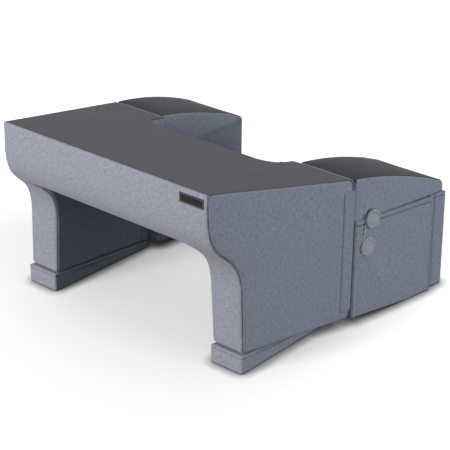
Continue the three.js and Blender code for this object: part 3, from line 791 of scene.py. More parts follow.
def flap_bed(points, lean):
    """Swells the desk's side round the hinge flap, so that cover and flap lie flush at the slit."""
    y, z = points[..., 1], points[..., 2]
    ahead = rear_y(z) - FLAP_OVERLAP - y
    over, beneath = z - FLAP_BOTTOM_Z, FLAP_TOP_Z - z
    rise = smooth(1 - np.maximum(ahead, 0) / BED_WIDTH) * smooth((rear_y(z) - y) / BED_EASE)
    rise *= smooth(1 + over / BED_END) * smooth(1 + beneath / BED_END)
    under = smooth(-ahead / BED_STEP) * smooth(over / BED_STEP) * smooth(beneath / BED_STEP)
    return points + (BED_RISE * rise * (1 - under))[..., None] * lean


def side_edge(z):
    """The desk's right front edge at a height."""
    return stack(side_x(front_at(z), z), front_at(z), z)


def front_panel():
    leg = stations(FRONT_LEG)
    upper = side_edge(np.linspace(CREASE_Z, TOP_Z, 60))[:, ::2]
    rise = travel(upper)[-1]
    width = 2 * rise + 2 * TOP_FRONT_HALF_WIDTH
    band = stations(width, lines=(rise, width - rise))[1:-1]
    outer_leg = side_edge(mix(BASE_FRONT_Z, CREASE_Z, leg))[:, ::2]
    outer = both_sides(outer_leg, along(both_sides(upper, upper[:0]), band))
    over = both_sides(KNEE_LINE[KNEE_BEND:-1], KNEE_LINE[-1:])
    inner = both_sides(along(KNEE_LINE[: KNEE_BEND + 1], leg), along(over, band))
    section_normal = knee_normal(np.abs(inner)) * np.where(inner[:, :1] < 0, LEFT, RIGHT)
    edge = knee_on_front(inner)
    across = stations(FRONT_WIDTH, coarse=FRONT_COARSE)[None]
    z = mix(outer[:, 1:], edge[:, 2:], across)
    points = stack(mix(outer[:, :1], edge[:, :1], across), front_at(z), z)
    side = side_edge(np.linspace(BASE_FRONT_Z, TOP_Z, 120))
    top = np.array([side[-1], side[-1] * LEFT])
    borders = [
        border(side, N_SIDE, 1 - S_SHARE, seam_depth(side)),
        border(top, N_TOP, 1 - TOP_SHARE, SOFT_SEAM),
        border(side * LEFT, N_SIDE * LEFT, 1 - S_SHARE, seam_depth(side)),
        border(points[:, -1], section_normal, KNEE_SHARE),
        border(points[0], N_BASE),
        border(points[-1], N_BASE),
    ]
    return points, front_normal(z), borders


def knee_creases():
    """A fold in the front's cloth, from the left corner of the kneehole out towards the side, with painted
    shade in it.
    """
    shares = np.linspace(0, FOLD_LENGTH, FOLD_POINTS)[:, None]
    x, _, z = mix(KNEE_CORNER, side_edge(CREASE_Z), shares).T
    line = stack(-x, front_at(z), z)
    return [(line[:count], depth, width) for count, depth, width in KNEE_FOLD]


def leg_inner_panel():
    section = along(KNEE_CHEEK, stations(CHEEK_RISE))
    front = knee_on_front(section)[:, 1:2]
    rear = rear_y(at_rear(knee_height(section[:, 1:], REAR_Y), BASE_PITCH))
    y = mix(front, rear, stations(LEG_RUN, lines=(LEG_RUN - CHEEK_SEAM,))[None])
    points = stack(section[:, :1], y, knee_height(section[:, 1:], y))
    normals = np.broadcast_to(knee_normal(section)[:, None], points.shape)
    front = (front_normal(points[:, 0, 2]), 1 - KNEE_SHARE)
    return points, normals, framed(points, N_BASE, normals[-1], front, N_REAR)


def cheek_seam():
    """The upright seam near the rear of a kneehole cheek."""
    y = np.full(len(KNEE_CHEEK), REAR_Y - CHEEK_SEAM)
    return stack(KNEE_CHEEK[:, 0], y, knee_height(KNEE_CHEEK[:, 1], y))


def underside_panel():
    x = mix(-KNEE_CENTRE_X, KNEE_CENTRE_X, stations(2 * KNEE_CENTRE_X))[:, None]
    front = knee_on_front(np.array([0.0, KNEE_Z]))[1]
    bow = np.clip(np.abs(x) - BELLY_CENTRE[0], 0, BELLY_RADIUS)
    rear = BELLY_CENTRE[1] - np.sqrt(BELLY_RADIUS**2 - bow**2)
    y = mix(front, rear, stations(UNDERSIDE_RUN)[None])
    points = stack(x, y, knee_height(KNEE_Z, y))
    front = (front_normal(points[:, 0, 2]), 1 - KNEE_SHARE)
    return points, N_BASE, framed(points, N_BASE, N_BASE, front, belly_normal(points[:, -1]))


def rear_panel():
    line = along(BELLY_LINE, stations(BELLY_LENGTH))
    rise = stations(REAR_RISE)[None]
    y = line[:, 1:]
    straight = np.clip((y - BELLY_CENTRE[1]) / (REAR_TOP_Y - BELLY_CENTRE[1]), 0, 1)
    z = mix(knee_height(KNEE_Z, y), top_z(y), rise)
    y = y + straight * (rear_y(z) - REAR_TOP_Y)
    z = mix(knee_height(KNEE_Z, y), top_z(y), rise)
    points = stack(line[:, :1], y, z)
    normals = np.broadcast_to(belly_normal(line)[:, None], points.shape)
    return points, normals, framed(points, N_REAR, N_REAR, N_BASE, TO_TOP)


def on_rear(section):
    return stack(section[..., 0], rear_y(section[..., 1]), section[..., 1])


def leg_rear_panel():
    knee = np.stack([KNEE_CHEEK[:, 0], at_rear(knee_height(KNEE_CHEEK[:, 1], REAR_Y), BASE_PITCH)], -1)
    wall = np.array([[BELLY_HALF, knee[-1, 1]], [BELLY_HALF, REAR_TOP_Z]])
    shares = stations(LEG_REAR_RISE)
    inner = along(np.concatenate([knee, wall]), shares)
    outer_z = mix(REAR_BASE_Z, REAR_TOP_Z, shares)
    outer = np.stack([side_x(rear_y(outer_z), outer_z), outer_z], -1)
    points = on_rear(mix(inner[:, None], outer[:, None], stations(LEG_REAR_WIDTH)[None, :, None]))
    outer_edge = points[:, -1]
    borders = [
        border(on_rear(knee), knee_normal(KNEE_CHEEK)),
        border(on_rear(wall), N_INNER),
        border(outer_edge, *at_hinge(outer_edge, N_SIDE)),
        border(points[0], N_BASE),
        border(points[-1], *TO_TOP),
    ]
    return points, N_REAR, borders


def leg_base_panel():
    u, v = crossed(stations(LEG_RUN), stations(LEG_WIDTH))
    y = mix(LEG_FRONT_Y, REAR_BASE_Y, u)
    points = stack(mix(KNEE_HALF, side_x(y, base_z(y)), v), y, base_z(y))
    return points, N_BASE, framed(points, N_FRONT, N_REAR, N_INNER, N_SIDE)


# Wing panels
def wing_level_panel(front_y, height, normal, *edges):
    """The top or the base of a wing."""
    u, v = crossed(stations(WING_LENGTH), stations(WING_WIDTH))
    y = mix(front_y, WING_REAR_Y, u)
    z = height(y)
    points = stack(mix(WING_INNER, wing_x(y, z), v), y, z)
    return points, normal(y), framed(points, *edges)


def wing_top_panel():
    front = (-N_REAR, REAR_TOP_SHARE, SOFT_SEAM)
    rear = (N_WING_REAR, LEATHER_SHARE, SOFT_SEAM, WING_REAR_RADIUS)
    sides = ((normal, LEATHER_SHARE, SOFT_SEAM) for normal in (N_INNER, N_WING_SIDE))
    return wing_level_panel(WING_TOP_FRONT_Y, wing_top_z, wing_top_normal, front, rear, *sides)


def wing_base_panel():
    edges = (-N_REAR, N_WING_REAR, N_INNER, N_WING_SIDE)
    return wing_level_panel(WING_BASE_FRONT_Y, wing_base_z, wing_base_normal, *edges)


def wing_side_panel(x_at, normal, hinged):
    u, v = crossed(stations(WING_LENGTH), stations(WING_RISE))
    low_y = mix(WING_BASE_FRONT_Y, WING_REAR_Y, u)
    high_y = mix(WING_TOP_FRONT_Y, WING_REAR_Y, u)
    y = mix(low_y, high_y, v)
    z = mix(wing_base_z(low_y), wing_top_z(high_y), v)
    points = stack(x_at(y, z), y, z)
    front = at_hinge(points[0], -N_REAR, SEAM) if hinged else -N_REAR
    top = (wing_top_normal(high_y[:, 0]), 1 - LEATHER_SHARE, SOFT_SEAM)
    return points, normal, framed(points, front, N_WING_REAR, wing_base_normal(low_y[:, 0]), top)


def wing_end_panel(y_at, bottom, top, normal, top_share, top_radius, hinged):
    u, v = crossed(stations(WING_WIDTH), stations(WING_RISE))
    z = mix(bottom, top, v)
    y = y_at(z)
    points = stack(mix(WING_INNER, wing_x(y, z), u), y, z)
    outer = at_hinge(points[-1], N_WING_SIDE) if hinged else N_WING_SIDE
    top = (wing_top_normal(y[:, -1]), top_share, SOFT_SEAM, top_radius)
    return points, normal, framed(points, N_INNER, outer, wing_base_normal(y[:, 0]), top)


def wing_front_panel():
    share = 1 - REAR_TOP_SHARE
    return wing_end_panel(wing_front_y, WING_BASE_FRONT_Z, REAR_TOP_Z, -N_REAR, share, EDGE_RADIUS, True)


def wing_rear_panel():
    def level(z):
        return np.full(z.shape, WING_REAR_Y)
    share = 1 - LEATHER_SHARE
    return wing_end_panel(level, 0.0, WING_REAR_Z, N_WING_REAR, share, WING_REAR_RADIUS, False)


FOLD_DROP = 0.0125  # of the fold in a wing's inner face, below the top at the rear
FOLD_FALL = 0.34  # for each length towards the hinge
FOLD_END = 0.040


def inner_fold(start, above):
    """A line along that fold, from that far ahead of the wing's rear end, and that far above the fold."""
    y = np.linspace(WING_REAR_Y - start, WING_FRONT_Y + FOLD_END, 24)
    return stack(WING_INNER, y, wing_top_z(y) - FOLD_DROP - FOLD_FALL * (WING_REAR_Y - y) + above)


# Materials
def feed(node, inputs):
    """Links sockets to a node's inputs, and sets plain values on them."""
    for key, value in inputs.items():
        if isinstance(value, bpy.types.NodeSocket):
            node.id_data.links.new(value, node.inputs[key])
        else:
            node.inputs[key].default_value = value


def shader_node(tree, kind, inputs=(), output=0, **settings):
    """An output of a new shader node."""
    made = put(tree.nodes.new("ShaderNode" + kind), **settings)
    feed(made, dict(inputs))
    return made.outputs[output]


def calc(operation, first, *more):
    return shader_node(first.id_data, "Math", enumerate((first, *more)), operation=operation)


def noise(vector, scale, detail, roughness=0.55):
    inputs = {"Vector": vector, "Scale": scale, "Detail": detail, "Roughness": roughness}
    return shader_node(vector.id_data, "TexNoise", inputs, "Fac")


def ramp(factor, *stops):
    colour = shader_node(factor.id_data, "ValToRGB", {"Fac": factor}, "Color")
    elements = colour.node.color_ramp.elements
    while len(elements) < len(stops):
        elements.new(0.5)
    for element, (place, shade) in zip(elements, stops):
        put(element, position=place, color=(*shade, 1))
    return colour


def either(factor, a, b):
    """Colour a where the factor is 0, and b where it is 1."""
    inputs = {"Factor": factor, "A": a, "B": b}
    return shader_node(factor.id_data, "Mix", inputs, "Result", data_type="RGBA")


def bump(height, strength, distance):
    inputs = {"Height": height, "Strength": strength, "Distance": distance}
    return shader_node(height.id_data, "Bump", inputs, "Normal")


def node_material(name):
    material = bpy.data.materials.new(name)
    material.use_nodes = True
    return material, material.node_tree


def surface(material, inputs):
    feed(material.node_tree.nodes["Principled BSDF"], inputs)
    return material


THREAD_PITCH = 0.0011
SLUB_COUNTS = (95, 430)  # to the metre, along a thread and across it
MOTTLE_COUNT = 130
WARP_SHARE, SLUB_SHARE, MOTTLE_SHARE, KNOT_SHARE = 0.8, 0.42, 0.244, 0.4
SEAM_PAINTED_SHADE = 0.22  # painted shade at a seam's bottom, as a share of the cloth's colour beside it


def fabric_material(name, colour, spread=0.25):
    """Heathered plain weave: short slubs along the weft, finer ones along the warp, with painted shade in its
    seams and creases.
    """
    material, tree = node_material(name)
    weave = shader_node(tree, "UVMap", output="UV", uv_map="weave")
    weft, warp = (
        noise(shader_node(tree, "Mapping", {"Vector": weave, "Scale": (*counts, 1)}), scale=1.0, detail=2.0)
        for counts in (SLUB_COUNTS, SLUB_COUNTS[::-1])
    )
    slubs = calc("MULTIPLY", calc("ADD", weft, calc("MULTIPLY", warp, WARP_SHARE)), SLUB_SHARE)
    level = calc("ADD", slubs, calc("MULTIPLY", noise(weave, MOTTLE_COUNT, detail=3.0), MOTTLE_SHARE))
    dark, light = ([c * share for c in colour] for share in (1 - spread, 1 + spread))
    heather = ramp(level, (0.36, dark), (0.5, colour), (0.64, light))
    # painted shade: the groove attribute darkens the cloth in seams and creases
    sunk = shader_node(tree, "Attribute", output="Fac", attribute_name="groove")
    split = shader_node(tree, "SeparateXYZ", {0: weave}).node.outputs
    waves = (calc("SINE", calc("MULTIPLY", split[k], 2 * math.pi / THREAD_PITCH)) for k in (0, 1))
    height = calc("ADD", calc("MULTIPLY", calc("MULTIPLY", *waves), KNOT_SHARE), slubs)
    return surface(material, {
        "Base Color": either(sunk, heather, (*(c * SEAM_PAINTED_SHADE for c in colour), 1)),
        "Normal": bump(height, strength=0.4, distance=0.0005),
        "Roughness": 0.92,
        "Sheen Weight": 0.2,
        "Sheen Roughness": 0.45,
        "Specular IOR Level": 0.2,
    })


def leatherette_material(name, dark, light):
    """Matt coated cloth with a fine pebbled grain."""
    material, tree = node_material(name)
    place = shader_node(tree, "TexCoord", output="Object")
    cells = shader_node(tree, "TexVoronoi", {"Vector": place, "Scale": 800}, "Distance")
    cloud = noise(place, scale=14, detail=4.0)
    grain = calc("ADD", cells, calc("MULTIPLY", noise(place, scale=1500, detail=2.0), 0.4))
    return surface(material, {
        "Base Color": ramp(cloud, (0.3, dark), (0.7, light)),
        "Normal": bump(grain, strength=0.35, distance=0.0004),
        "Roughness": calc("ADD", calc("MULTIPLY", cloud, 0.14), 0.5),
        "Specular IOR Level": 0.1,
    })


def cellular_material(name, dark, light, scale, roughness=0.95):
    """Foam, board and tape: a speckle of that many cells to the metre."""
    material, tree = node_material(name)
    speckle = noise(shader_node(tree, "TexCoord", output="Object"), scale, detail=5.0, roughness=0.7)
    colour = ramp(speckle, (0.3, dark), (0.7, light))
    normal = bump(speckle, strength=0.6, distance=0.0006)
    return surface(material, {"Base Color": colour, "Normal": normal, "Roughness": roughness})


FABRIC = fabric_material("cover_fabric", (0.262, 0.276, 0.330))
BUTTON_FABRIC = fabric_material("button_fabric", (0.375, 0.38, 0.43))
THREAD = fabric_material("thread", (0.30, 0.315, 0.37), spread=0.15)
LABEL_WEAVE = fabric_material("label_weave", (0.009, 0.009, 0.01), spread=0.5)
LEATHERETTE = leatherette_material("top_leatherette", (0.086, 0.083, 0.098), (0.097, 0.094, 0.110))
# The wings' tops get a darker, bluer copy of the top's leatherette: painted shade where they slope back from
# the light, with a bluish painted reflection.
SHADED_WING_LEATHERETTE = leatherette_material("wing_leatherette_painted_shade", (0.036, 0.037, 0.050), (0.041, 0.042, 0.058))
FOAM = cellular_material("foam", (0.62, 0.56, 0.42), (0.82, 0.77, 0.62), scale=900)
BOARD = cellular_material("stiffener_board", (0.32, 0.22, 0.12), (0.5, 0.37, 0.22), scale=400, roughness=0.8)
TAPE = cellular_material("hook_and_loop", (0.008, 0.008, 0.01), (0.03, 0.03, 0.034), scale=1400)

# Cover of desk and wings; a crease is its line, depth and width, a depth below 0 makes a ridge, and a
# crease's depth also paints shade along it
SLIT = (slit_line(), 0.002, 0.0013)
CORNER = (corner_seam(), 0.0014, 0.0014)
CHEEK_CREASE = (cheek_seam(), 0.0016, 0.0013)
INNER_FOLDS = [
    (inner_fold(0.060, 0.018), -0.0030, 0.016),
    (inner_fold(0.034, 0.009), -0.0034, 0.0075),
    # a shallow crease just under the fold, there for its painted shade
    (inner_fold(0.012, 0.0), 0.0010, 0.007),
]
top = sewn_grid(top_panel(), bulge=0.0006)
cover("top_sheet", "desk", top, LEATHERETTE, "top_leatherette")
front = sewn_grid(front_panel(), creases=knee_creases())
cover("front_panel", "desk", front, FABRIC, weave=front_weave)
cover("underside_panel", "desk", sewn_grid(underside_panel()), FABRIC)
cover("rear_panel", "desk", sewn_grid(rear_panel()), FABRIC)
DESK_PANELS = {
    "side_panel": sewn_grid(side_panel(), swell=flap_bed, creases=[SLIT, CORNER]),
    "leg_inner_panel": sewn_grid(leg_inner_panel(), creases=[CHEEK_CREASE]),
    "leg_rear_panel": sewn_grid(leg_rear_panel()),
    "leg_base_panel": sewn_grid(leg_base_panel()),
}
inner = wing_side_panel(wing_inner_x, N_INNER, hinged=False)
WING_PANELS = {
    "wing_outer_panel": sewn_grid(wing_side_panel(wing_x, N_WING_SIDE, hinged=True)),
    "wing_inner_panel": sewn_grid(inner, puff=0.004, creases=INNER_FOLDS),
    "wing_front_panel": sewn_grid(wing_front_panel()),
    "wing_rear_panel": sewn_grid(wing_rear_panel(), puff=0.003),
    "wing_base_panel": sewn_grid(wing_base_panel(), bulge=0),
}
wing_top = sewn_grid(wing_top_panel(), puff=0.005)
for side, flip in SIDES.items():
    wing, wing_core = f"wing_{side}", [f"core_wing_foam_{side}"]
    for name, grid in DESK_PANELS.items():
        cover(f"{name}_{side}", "desk", grid, FABRIC, flip=flip)
    for name, grid in WING_PANELS.items():
        cover(f"{name}_{side}", wing, grid, FABRIC, flip=flip)
    cover(f"wing_top_sheet_{side}", wing, wing_top, SHADED_WING_LEATHERETTE, "top_leatherette", flip=flip)

# Foam inside the cover
CORE_VOXEL = 0.007
CORE_SHRINK = 0.004


def foam_core(node, body):
    """The foam block with its corners eased, just clear of the cover."""
    core = add_object("core_" + node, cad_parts[node].data.copy())
    put(core.modifiers.new("cells", "REMESH"), voxel_size=CORE_VOXEL)
    put(core.modifiers.new("ease", "SMOOTH"), iterations=6)
    put(core.modifiers.new("shrink", "DISPLACE"), mid_level=0, strength=-CORE_SHRINK)
    bake_modifiers(core)
    if body == "desk":
        points = np.array([v.co for v in core.data.vertices])
        core.data.vertices.foreach_set("co", knee_slack(points).ravel())
    core.data.materials.clear()
    core.data.materials.append(FOAM)
    dress(core, body, "foam", node)


foam_core("bridge_foam", "desk")
for side in SIDES:
    foam_core(f"leg_foam_{side}", "desk")
    foam_core(f"wing_foam_{side}", f"wing_{side}")


# Padded blocks: the wedge feet and the label
def block(corner, spans, radius, bulge, creases=()):
    """Six rolled panels round a block; corner gives its sharp points for shares of its three spans."""
    shares = [stations(s, zone=1.6 * radius, fine=radius / 4, coarse=0.006) for s in spans]
    middle = corner(np.full(3, 0.5))
    others = [(1, 2), (0, 2), (0, 1)]
    faces, normals = {}, {}
    for axis, (a, b) in enumerate(others):
        for end in (0, 1):
            grid = np.full((len(shares[a]), len(shares[b]), 3), float(end))
            grid[..., a], grid[..., b] = crossed(shares[a], shares[b])
            points = corner(grid)
            normal = unit(np.cross(points[-1, 0] - points[0, 0], points[0, -1] - points[0, 0]))
            normals[axis, end] = normal * np.sign(normal @ (points.mean((0, 1)) - middle))
            faces[axis, end] = points
    parts = []
    for (axis, end), points in faces.items():
        edges = ((normals[k, e], 0.5, 0, radius) for k in others[axis] for e in (0, 1))
        borders = framed(points, *edges)
        parts.append(sheet_data(*sew(points, normals[axis, end], borders, bulge, 0.3 * bulge, creases)))
    return parts


def weld(piece, distance=0.0003):
    return reworked(piece, lambda mesh: bmesh.ops.remove_doubles(mesh, verts=mesh.verts, dist=distance))


FOOT_LOW, FOOT_HIGH = low("foot_wedge_right"), high("foot_wedge_right")
FOOT_GAP = 0.0026  # tape between a foot and its leg
FOOT_BULGE = 0.0008
PIPING_DROP = 0.0052  # sewn line below a foot's top edge
PIPING_RISE = 0.0026  # swelling above that line
FOOT_STITCH_DROP = 0.0026
FOOT_STITCH_RISE = 0.0002


def foot_top(y):
    return base_z(y) - FOOT_GAP


def foot_corner(shares):
    y = mix(FOOT_LOW[1], FOOT_HIGH[1], shares[..., 1])
    return stack(mix(FOOT_LOW[0], FOOT_HIGH[0], shares[..., 0]), y, shares[..., 2] * foot_top(y))


def foot_piping():
    """The line stitched round a foot, below its top edge."""
    x, y = oblong(FOOT_LOW[:2], FOOT_HIGH[:2])
    return stack(x, y, foot_top(y) - PIPING_DROP)


def foot_stitches():
    """The rows of stitches under that line, on the four upright faces."""
    line = foot_piping() - [0, 0, FOOT_STITCH_DROP]
    rows = []
    for a, b in zip(line[:-1], line[1:]):
        inset = 1.5 * FOOT_RADIUS / np.linalg.norm(b - a)
        run = mix(a, b, np.linspace(inset, 1 - inset, 60)[:, None])
        out = unit(np.cross(b - a, N_UP))
        rows.append((run + FOOT_STITCH_RISE * out, out))
    return rows


# the sewn line's crease sinks the cloth and paints shade along it; the line above it swells into a ridge
PIPING = [(foot_piping(), 0.0017, 0.0011), (foot_piping() + [0, 0, PIPING_RISE], -0.0006, 0.0016)]
foot_parts = block(foot_corner, FOOT_HIGH - FOOT_LOW, FOOT_RADIUS, FOOT_BULGE, PIPING)
for side, flip in SIDES.items():
    foot = weld(mesh_object(f"pad_foot_{side}", [mirrored(part, flip) for part in foot_parts], FABRIC))
    dress(foot, "desk", "cover_fabric", f"foot_wedge_{side}")
    stitches(f"stitches_foot_{side}", "desk", foot_stitches(), flip)

LABEL_LOW, LABEL_HIGH = low("label"), high("label")
LABEL_RADIUS = 0.0004
LABEL_BULGE = 0.0002
LABEL_WELD = 0.00004
LABEL_HEM = 0.0022


def label_corner(shares):
    return mix(LABEL_LOW, LABEL_HIGH, shares)


label_parts = block(label_corner, LABEL_HIGH - LABEL_LOW, LABEL_RADIUS, LABEL_BULGE)
label = weld(mesh_object("woven_label", label_parts, LABEL_WEAVE), LABEL_WELD)
dress(label, "desk", "label_weave", "label")
x, z = oblong(LABEL_LOW[::2] + LABEL_HEM, LABEL_HIGH[::2] - LABEL_HEM)
hem = stack(x, LABEL_LOW[1], z)
stitches("stitches_label", "desk", [(along(hem, np.linspace(0, 1, 200)), N_FRONT)])

# Pocket on the outside of a wing
CLEARANCE = 0.0003
POCKET_SKIN = 0.0018
POCKET_FRONT_Y = WING_FRONT_Y + 0.003
PLEAT_Y = high("pocket_panel_right")[1] - 0.0005
POCKET_FRONT_Z = 0.229
POCKET_REAR_Z = 0.217
POCKET_BOTTOM_MARGIN = 0.001
MOUTH_FRONT = 0.0008
MOUTH_PLEAT = 0.009
MOUTH_SIDE = 0.0055
BOTTOM_SHARE = 0.75
STRIP_BOTTOM = 0.001
STRIP_UNDER = 0.004  # of the strip lies under the panel's pleat
POCKET_RUN, POCKET_RISE, POCKET_ZONE = 0.233, 0.22, 0.013  # for the meshes
STRIP_RUN, STRIP_RISE, HEM_RUN = 0.045, 0.217, 0.232
POCKET_RADIUS = 0.0026
STRIP_REAR_RADIUS = 0.005
PLEAT_FOLD = 0.003  # from the fold's ridge to the panel's rear edge
PLEAT_SHADE = 0.009  # bottom of the pleat, behind its fold, where a band of painted shade runs
FRONT_BAND = 0.008  # turned edge at the pocket's front seam
HEM_WIDTH = 0.009
HEM_LINE = HEM_WIDTH + 0.0008  # below the mouth
STRIP_HEM = 0.8 * HEM_WIDTH
HEM_MARGIN = 0.0005
HEM_RISE = 0.0012
HEM_RADIUS = 0.0011
BAND_STITCH = FRONT_BAND - 0.0024  # from the pocket's front edge
HEM_STITCH = 0.0022
STRIP_STITCH = 0.6 * HEM_WIDTH


def mouth_z(y):
    return mix(POCKET_FRONT_Z, POCKET_REAR_Z, (y - POCKET_FRONT_Y) / (WING_REAR_Y - POCKET_FRONT_Y))


def pocket_bottom_z(y):
    return wing_base_z(y) + POCKET_BOTTOM_MARGIN


def below_mouth(y, drop):
    """The share of the pocket's height that far below its mouth."""
    return 1 - drop / (mouth_z(y) - pocket_bottom_z(y))


def panel_gap(y, h):
    """Clear width behind the pocket's panel, h from 0 at the bottom seam to 1 at the mouth."""
    share = (y - POCKET_FRONT_Y) / (PLEAT_Y - POCKET_FRONT_Y)
    return mix(MOUTH_FRONT, MOUTH_PLEAT, share) * mix(BOTTOM_SHARE, 1, h)


def strip_gap(y, h):
    return mix(STRIP_BOTTOM, MOUTH_SIDE, h)


def leaned(y, z):
    """A wing's y once its front end leans with the hinge and its rear end stays upright."""
    return y + (rear_y(z) - REAR_Y) * (WING_REAR_Y - y) / WING_LENGTH


def pocket_face(gap, y, h, rise=0.0):
    """A point on the outside of the pocket."""
    z = mix(pocket_bottom_z(y), mouth_z(y), h)
    stand = CLEARANCE + gap(y, h) + POCKET_SKIN + rise
    y = leaned(y, z)
    return stack(wing_x(y, z) + stand, y, z)


def upright(gap, y):
    return pocket_face(gap, np.full(40, y), np.linspace(0, 1, 40))


def hem_line(gap, start, stop, drop, count):
    y = np.linspace(start, stop, count)
    return pocket_face(gap, y, below_mouth(y, drop))


def grid_normals(points, towards):
    normal = unit(np.cross(np.gradient(points, axis=0), np.gradient(points, axis=1)))
    return normal * np.sign(normal @ towards)[..., None]


def sew_flat(points, radius, bulge, wave, creases=(), rear_radius=None, towards=N_WING_SIDE):
    """A sewn piece that lies on another, with its own rolled edge all round."""
    edges = [(-N_REAR, radius), (N_WING_REAR, rear_radius or radius), (N_DOWN, radius), (N_UP, radius)]
    borders = framed(points, *((beyond, 1.0, 0, roll) for beyond, roll in edges))
    return sew(points, grid_normals(points, towards), borders, bulge, wave, creases)


def pocket_panel():
    run, h = crossed(stations(POCKET_RUN, POCKET_ZONE), stations(POCKET_RISE, POCKET_ZONE))
    points = pocket_face(panel_gap, mix(POCKET_FRONT_Y, PLEAT_Y, run), h)
    # the hem's sunk line, the second crease, carries painted shade; the other two are ridges
    creases = [
        (upright(panel_gap, POCKET_FRONT_Y + FRONT_BAND / 2), -0.0028, 0.0032),
        (hem_line(panel_gap, POCKET_FRONT_Y, PLEAT_Y, HEM_LINE, 40), 0.0032, 0.0015),
        (upright(panel_gap, PLEAT_Y - PLEAT_FOLD), -0.0030, 0.0027),
    ]
    points, lean, groove = sew_flat(points, POCKET_RADIUS, bulge=0.0012, wave=0.0006, creases=creases)
    return puffed(points, lean, 0.003, pressure=1.5, gravity=0.4), lean, groove


def pocket_hem():
    run = stations(HEM_RUN, zone=0.004, fine=0.0005)[:, None]
    rise = stations(HEM_WIDTH, zone=0.002, fine=0.0004, coarse=0.0012)[None]
    y = mix(POCKET_FRONT_Y + HEM_MARGIN, PLEAT_Y - HEM_MARGIN, run)
    points = pocket_face(panel_gap, y, below_mouth(y, (1 - rise) * HEM_WIDTH), HEM_RISE)
    return sew_flat(points, HEM_RADIUS, bulge=0.0002, wave=0.0002)


def pocket_strip():
    start = PLEAT_Y - STRIP_UNDER
    run, h = crossed(stations(STRIP_RUN), stations(STRIP_RISE))
    # both creases carry painted shade: the hem's sunk line and a band behind the pleat's fold
    creases = [
        (hem_line(strip_gap, start, WING_REAR_Y, STRIP_HEM, 12), 0.002, 0.0013),
        (upright(strip_gap, PLEAT_Y + PLEAT_SHADE), 0.0013, 0.0032),
    ]
    points = pocket_face(strip_gap, mix(start, WING_REAR_Y, run), h)
    return sew_flat(
        points, POCKET_RADIUS, bulge=0.0008, wave=0.0004, creases=creases, rear_radius=STRIP_REAR_RADIUS
    )


def to_wing(points, lean):
    """Turns a pocket piece's rim in to the wing, and at the mouth only by the cloth's thickness."""
    back = points.copy()
    back[..., 0] = np.minimum(points[..., 0], wing_x(points[..., 1], points[..., 2]))
    back[:, -1, 0] = points[:, -1, 0] - POCKET_SKIN
    return back


def strip_rim(points, lean):
    back = to_wing(points, lean)
    back[-1, :, 0] -= EDGE_RADIUS
    return back


POCKET_PIECES = {
    "panel": (pocket_panel(), to_wing, ["pocket_panel", "pocket_base_strip"]),
    "hem": (pocket_hem(), pushed_in(HEM_RISE), ["pocket_hem"]),
    "strip": (pocket_strip(), strip_rim, ["pocket_side_strip", "pocket_gusset"]),
}
pocket_rows = [
    line_on(POCKET_PIECES["panel"][0], 0, BAND_STITCH),
    line_on(POCKET_PIECES["hem"][0], 1, HEM_STITCH),
    line_on(POCKET_PIECES["strip"][0], 1, -STRIP_STITCH),
]
for side, flip in SIDES.items():
    wing, outside = f"wing_{side}", [f"cover_wing_outer_panel_{side}"]
    for name, (grid, move, nodes) in POCKET_PIECES.items():
        replaced = [f"{n}_{side}" for n in nodes]
        grid = with_rim(*grid, move)
        cloth(f"pocket_{name}_cloth_{side}", wing, grid, FABRIC, "cover_fabric", replaced, flip)
    stitches(f"stitches_pocket_{side}", wing, pocket_rows, flip)

# Covered buttons and the strap behind them
BUTTON_HEIGHT = 0.007
# From the middle of a button's face over its rim to its back: radius, height
BUTTON_PROFILE = [(0, 0.0060), (0.006, 0.0059), (0.0115, 0.0055), (0.0136, 0.0052), (0.0147, 0.0054),
                  (0.0158, 0.0061), (0.0172, 0.0067), (0.0187, 0.0064), (0.0199, 0.0053), (0.0205, 0.0036),
                  (0.0203, 0.0016), (0.0192, 0.0002), (0.012, 0.0)]
# painted shade in the groove inside each button's rim: its radius, width and strength
BUTTON_GROOVE, BUTTON_GROOVE_WIDTH, BUTTON_SHADE = 0.0138, 0.0014, 0.22
BUTTON_SEGMENTS = 56


def close_holes(mesh):
    bmesh.ops.holes_fill(mesh, edges=mesh.edges)
    bmesh.ops.recalc_face_normals(mesh, faces=mesh.faces)


def button(node, body, flip):
    """A fabric-covered button: a rolled rim round a dished middle, with painted shade in the groove inside
    the rim.
    """
    axis = N_WING_SIDE * flip
    side = unit(np.cross(N_UP, axis))
    up = np.cross(axis, side)
    seat = (low(node) + high(node)) / 2 - axis * BUTTON_HEIGHT / 2
    profile = along(np.array(BUTTON_PROFILE), np.linspace(0, 1, 40))[1:]
    turn = np.linspace(0, 2 * math.pi, BUTTON_SEGMENTS, endpoint=False)
    r, h = profile[:, :1], profile[:, 1:]
    flat = np.stack([r * np.cos(turn), r * np.sin(turn)], -1)
    rings = seat + flat[..., :1] * side + flat[..., 1:] * up + (h + 0 * turn)[..., None] * axis
    index = np.arange(rings.size // 3).reshape(-1, BUTTON_SEGMENTS)
    ahead = np.roll(index, -1, 1)
    quads = np.stack([index[:-1], index[1:], ahead[1:], ahead[:-1]], -1).reshape(-1, 4)
    # painted shade in that groove
    sunk = np.exp(-(((r - BUTTON_GROOVE) / BUTTON_GROOVE_WIDTH) ** 2)) * BUTTON_SHADE + 0 * turn
    parts = [(rings.reshape(-1, 3), quads, flat.reshape(-1, 2), sunk.ravel())]
    piece = reworked(mesh_object("covered_" + node, parts, BUTTON_FABRIC), close_holes)
    return dress(piece, body, "cover_fabric", node)


STRAP_TOP = (0.0895, 0.257)  # y, z
STRAP_END = (0.0705, 0.150)
STRAP_WIDTH = 0.0046
STRAP_RISE = 0.0014
STRAP_ROUND = 0.8
STRAP_CLEARANCE = 0.001
STRAP_POCKET_CLEARANCE = 0.0004  # more over the pocket
STRAP_EASE = np.hanning(13) / np.hanning(13).sum()


